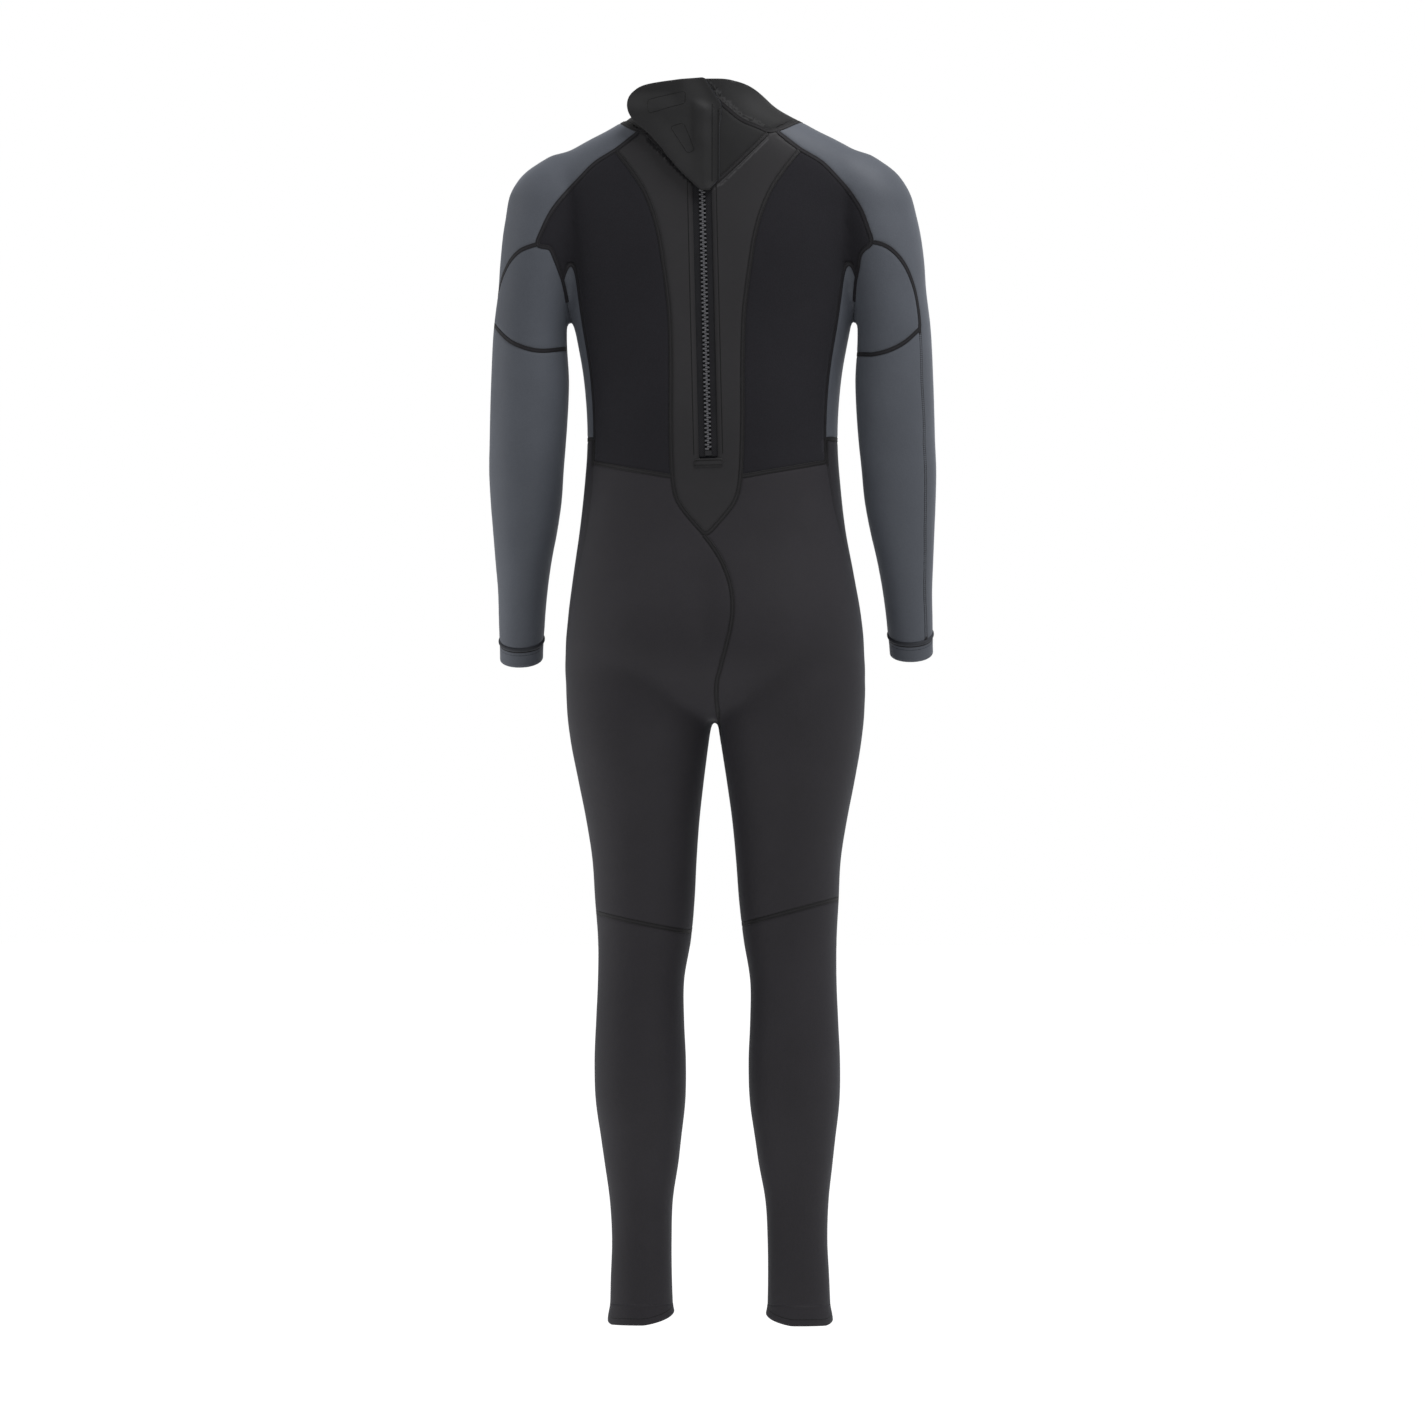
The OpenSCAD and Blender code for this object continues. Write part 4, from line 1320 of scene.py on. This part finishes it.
FLAP_X = -7.0                     # the fold that the flap opens on
FLAP_BEND = 300.0
RIDGE_X, RIDGE_HALF = 7.5, 9.0    # the ridge where the flap lies over the slider
SLIDER_LOW, SLIDER_HIGH = (1404, 1428), (1456, 1472)     # where the ridge comes and goes
FLAP_THICK, SEWN_THICK = 3.0, 0.8
FLAP_CLEAR, SEWN_LIFT = 1.4, 0.15
PAD_MARGIN = 2.5                  # from a pad's edge to its stitches
SEWN_X = -15.0
FLAP_SEWN = [(2.5, 1496), (-5.0, 1484), (-13.5, 1471), (-17.5, 1466), (-17.5, 1450),
             (SEWN_X, 1440), (SEWN_X, 1376)]
BAR_TACKS = [(-8.6, 1461.5), (-14.6, 1459.5), (-14.0, 1453)]


def flap_outline():
    """The flap with its sewn strip, seen from behind."""
    return chain(np.array(FLAP_SEWN)[::-1], curve(FLAP_EDGE), [(-3, 1362)])


FLAP_SHAPE = flap_outline()


def from_sewn_edge(x, z):
    """How far a point is from the sewn edge, along the back."""
    line = np.array(FLAP_SEWN, float)
    best = np.full(x.shape, 1e9)
    for a, b in zip(line[:-1], line[1:]):
        t = np.clip(((x - a[0]) * (b - a)[0] + (z - a[1]) * (b - a)[1]) / ((b - a) @ (b - a)), 0, 1)
        best = np.minimum(best, np.hypot(x - a[0] - t * (b - a)[0], z - a[1] - t * (b - a)[1]))
    return best


def flap_thickness(x, z):
    return SEWN_THICK + (FLAP_THICK - SEWN_THICK) * smoothstep(5, 30, from_sewn_edge(x, z))


def flap_surface(x, z):
    """Height in Y of the flap's inner face: a soft sheet sewn down on its right, over the zip."""
    slider = smoothstep(*SLIDER_LOW, z) * (1 - smoothstep(*SLIDER_HIGH, z))
    w = 1.6 + (1.0 + 2.6 * slider) * np.exp(-((x - RIDGE_X) / RIDGE_HALF) ** 4)
    edge = inside(x, z, FLAP_SHAPE)
    free = smoothstep(4, 20, x) * (1 - smoothstep(1456, 1482, z))
    w = w + (3.0 * (1 - smoothstep(-1, 30, edge)) + 7.0 * smoothstep(6, 60, x)) * free
    w = w - (x - FLAP_X) ** 2 / (2 * FLAP_BEND)
    ground = np.array([back_surface(float(a), float(b)) for a, b in zip(x, z)])
    bent = back_y(z) + w
    ground = np.where(ground < -500, bent - 60, ground)
    # never nearer than FLAP_CLEAR to the suit, with a soft change between lying and standing off
    gap = bent - ground - FLAP_CLEAR
    soft = ground + FLAP_CLEAR + 0.5 * (gap + np.sqrt(gap**2 + 6.0))
    rise = smoothstep(5, 20 + 16 * smoothstep(1456, 1474, z), from_sewn_edge(x, z))
    return ground + SEWN_LIFT + (soft - ground - SEWN_LIFT) * rise


def grid_skin(outline, step, grow=0.0):
    """A flat grid of triangles cut to an outline, with its distance to the edge."""
    lo, hi = outline.min(0) - step - grow, outline.max(0) + step + grow
    xs, zs = np.arange(lo[0], hi[0] + step, step), np.arange(lo[1], hi[1] + step, step)
    gx, gz = np.meshgrid(xs, zs, indexing="ij")
    x, z = gx.ravel(), gz.ravel()
    m = len(zs)
    i, j = np.meshgrid(np.arange(len(xs) - 1), np.arange(m - 1), indexing="ij")
    a = (i * m + j).ravel()
    tri = np.concatenate([np.stack([a, a + 1, a + m + 1], 1), np.stack([a, a + m + 1, a + m], 1)])
    edge = inside(x, z, outline) + grow
    data = np.column_stack([x, 0 * x, z, 0 * x, 1 + 0 * x, 0 * x, edge])
    skin = Skin(data, tri, {"edge": 6})
    skin = skin.split(skin.col("edge"), False)
    for loop in (0.7, 1.8):
        skin = skin.split(skin.col("edge") - loop, True)
    return skin


def lay_on_flap(skin, out):
    """Moves a flat skin onto the flap, out millimetres from its inner face."""
    x, z = skin.points()[:, 0], skin.points()[:, 2]
    h = 0.6
    y = flap_surface(x, z)
    dx = (flap_surface(x + h, z) - flap_surface(x - h, z)) / (2 * h)
    dz = (flap_surface(x, z + h) - flap_surface(x, z - h)) / (2 * h)
    n = unit(np.stack([-dx, np.ones_like(dx), -dz], 1))
    data = skin.data.copy()
    out = out if np.ndim(out) == 0 else np.asarray(out)[:, None]
    data[:, 0:3] = np.stack([x, y, z], 1) + n * out
    data[:, 3:6] = n
    return Skin(data, skin.tri, skin.names)


def flap_tie(obj):
    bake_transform(obj)


def plate(name, skin, thickness, materials, rounding=0.8):
    """A sheet with rounded edges on both faces."""
    p, n = skin.points(), skin.normals()
    edge = skin.col("edge")
    r = rounding * (1 - smoothstep(0, 1.8, edge)) ** 1.5
    # the edge distance goes in as seam_gap, so painted shade darkens the flap's colour at its rim
    return two_faced(name, skin.tri, p - n * r[:, None], p - n * (thickness - r)[:, None],
                     materials, edge * 2 + 2)


def make_flap():
    flat = grid_skin(FLAP_SHAPE, 2.0)
    thick = flap_thickness(flat.points()[:, 0], flat.points()[:, 2])
    skin = lay_on_flap(flat, thick)
    flap = plate("collar_flap_sheet", skin, thick,
                 [MATERIAL["smooth_neoprene"], MATERIAL["lining"]])
    area = surface_area(skin)
    flap_tie(flap)
    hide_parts("collar_flap", "flap_seam_strip")
    for name, quad in (("hook_pad_upper", HOOK_UPPER), ("hook_pad_lower", HOOK_LOWER)):
        corner = np.array(quad, float)
        pad = lay_on_flap(grid_skin(corner, 2.0), -0.05)
        piece = plate(name + "_tape", pad, 1.0, [MATERIAL["hook_tape"]] * 2, rounding=0.3)
        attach(piece, "flap")
        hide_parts(name)
        face = lay_on_flap(grid_skin(corner, 1.5, PAD_MARGIN), FLAP_THICK)
        lines = lines_on(face, face.col("edge") - PAD_MARGIN)
        stitch = ribbon("stitch_" + name, lines, STITCH_PROFILE, MATERIAL["stitch"], 0.2, 0.8)
        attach(stitch, "flap")
    face = grid_skin(FLAP_SHAPE, 1.5)
    face = lay_on_flap(face, flap_thickness(face.points()[:, 0], face.points()[:, 2]))
    fx, fz = face.points()[:, 0], face.points()[:, 2]
    for name, place, top in (("crease", -6.2, 1466), ("edge", SEWN_X + 1.6, 1460)):
        lines = lines_on(face, fx - place, least(top - fz, fz - 1372))
        stitch = ribbon("stitch_flap_" + name, lines, STITCH_PROFILE, MATERIAL["stitch"], 0.2,
                        1.0)
        flap_tie(stitch)
    for i, (x, z) in enumerate(BAR_TACKS):
        spot = grid_skin(np.array([(x + 1, z - 1.3), (x - 1, z - 1.3), (x - 1, z + 1.3),
                                   (x + 1, z + 1.3)]), 0.65)
        out = flap_thickness(spot.points()[:, 0], spot.points()[:, 2]) + 0.45
        tack = plate(f"bar_tack_{i}", lay_on_flap(spot, out), 0.8, [MATERIAL["stitch"]] * 2,
                     rounding=0.3)
        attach(tack, "suit")


make_flap()


# ------------------------------------------------------------------ what the CAD nodes keep

# far from any seam, so the materials paint no seam shade on these CAD parts
NO_SEAM_NEAR = 30.0

for node, material in {
    "zip_tape_left": "zip_tape", "zip_tape_right": "zip_tape", "zip_top_stops": "slider",
    "zip_bottom_stop": "slider", "zip_guard_flap": "lining", "zip_pull_tab": "slider",
    "loop_pad": "loop_tape",
}.items():
    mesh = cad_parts[node].data
    mark_rest(mesh)
    mark(mesh, "seam_gap", np.full(len(mesh.vertices), NO_SEAM_NEAR))
    mesh.materials.clear()
    mesh.materials.append(MATERIAL[material])


# ------------------------------------------------------------------ camera, floor, light

def white_card(tree, socket, fill, seen):
    """A white backdrop: bright where it is seen directly, a weaker fill light elsewhere."""
    path = tree.nodes.new("ShaderNodeLightPath")
    level = tree.nodes.new("ShaderNodeMapRange")
    level.inputs["To Min"].default_value = fill
    level.inputs["To Max"].default_value = seen
    tree.links.new(path.outputs["Is Camera Ray"], level.inputs["Value"])
    tree.links.new(level.outputs["Result"], socket)


def studio():
    scene = bpy.context.scene
    scene.view_settings.view_transform = "Standard"
    scene.view_settings.look = "None"
    turn, distance, height = math.radians(184.5), 12.0, 0.7367
    framed = 1.7168               # width in metres that the picture shows at the suit
    camera = link_new("camera", bpy.data.cameras.new("camera"))
    camera.location = (math.sin(turn) * distance, -math.cos(turn) * distance, height)
    camera.rotation_euler = (math.pi / 2, 0, turn)
    camera.data.sensor_width = 36
    camera.data.lens = camera.data.sensor_width * distance / framed
    scene.camera = camera

    floor = bpy.data.meshes.new("floor")
    low, far = -0.25, 30          # the suit hangs from its neck, clear of the floor
    floor.from_pydata([(-far, -far, low), (far, -far, low), (far, far, low), (-far, far, low)],
                      [], [(0, 1, 2, 3)])
    pale = bpy.data.materials.new("pale_floor")
    pale.use_nodes = True
    surface = pale.node_tree.nodes["Principled BSDF"]
    surface.inputs["Base Color"].default_value = (0.8, 0.8, 0.8, 1)
    surface.inputs["Roughness"].default_value = 0.9
    surface.inputs["Emission Color"].default_value = (1, 1, 1, 1)
    white_card(pale.node_tree, surface.inputs["Emission Strength"], 0.4, 0.9)
    floor.materials.append(pale)
    ground = link_new("floor", floor)

    world = bpy.data.worlds.new("studio")
    scene.world = world
    world.use_nodes = True
    back = world.node_tree.nodes["Background"]
    back.inputs["Color"].default_value = (1, 1, 1, 1)
    white_card(world.node_tree, back.inputs["Strength"], 0.24, 1.0)

    def soft_light(name, place, aim, size, power):
        lamp = bpy.data.lights.new(name, "AREA")
        lamp.shape = "RECTANGLE"
        lamp.size, lamp.size_y = size
        lamp.energy = power
        obj = link_new(name, lamp)
        obj.location = place
        obj.rotation_euler = (Vector(aim) - Vector(place)).to_track_quat("-Z", "Y").to_euler()

    soft_light("side_left", (2.2, 0.0, 1.0), (0, 0, 0.7), (0.8, 2.2), 12)
    soft_light("side_right", (-2.2, 0.0, 0.9), (0, 0, 0.6), (0.8, 1.6), 2)
    soft_light("key_top", (-0.8, 0.6, 3.2), (0, 0, 1.3), (1.0, 0.9), 40)
    soft_light("front_fill", (0, -3.0, 1.8), (0, 0, 0.8), (2.0, 1.6), 10)


studio()
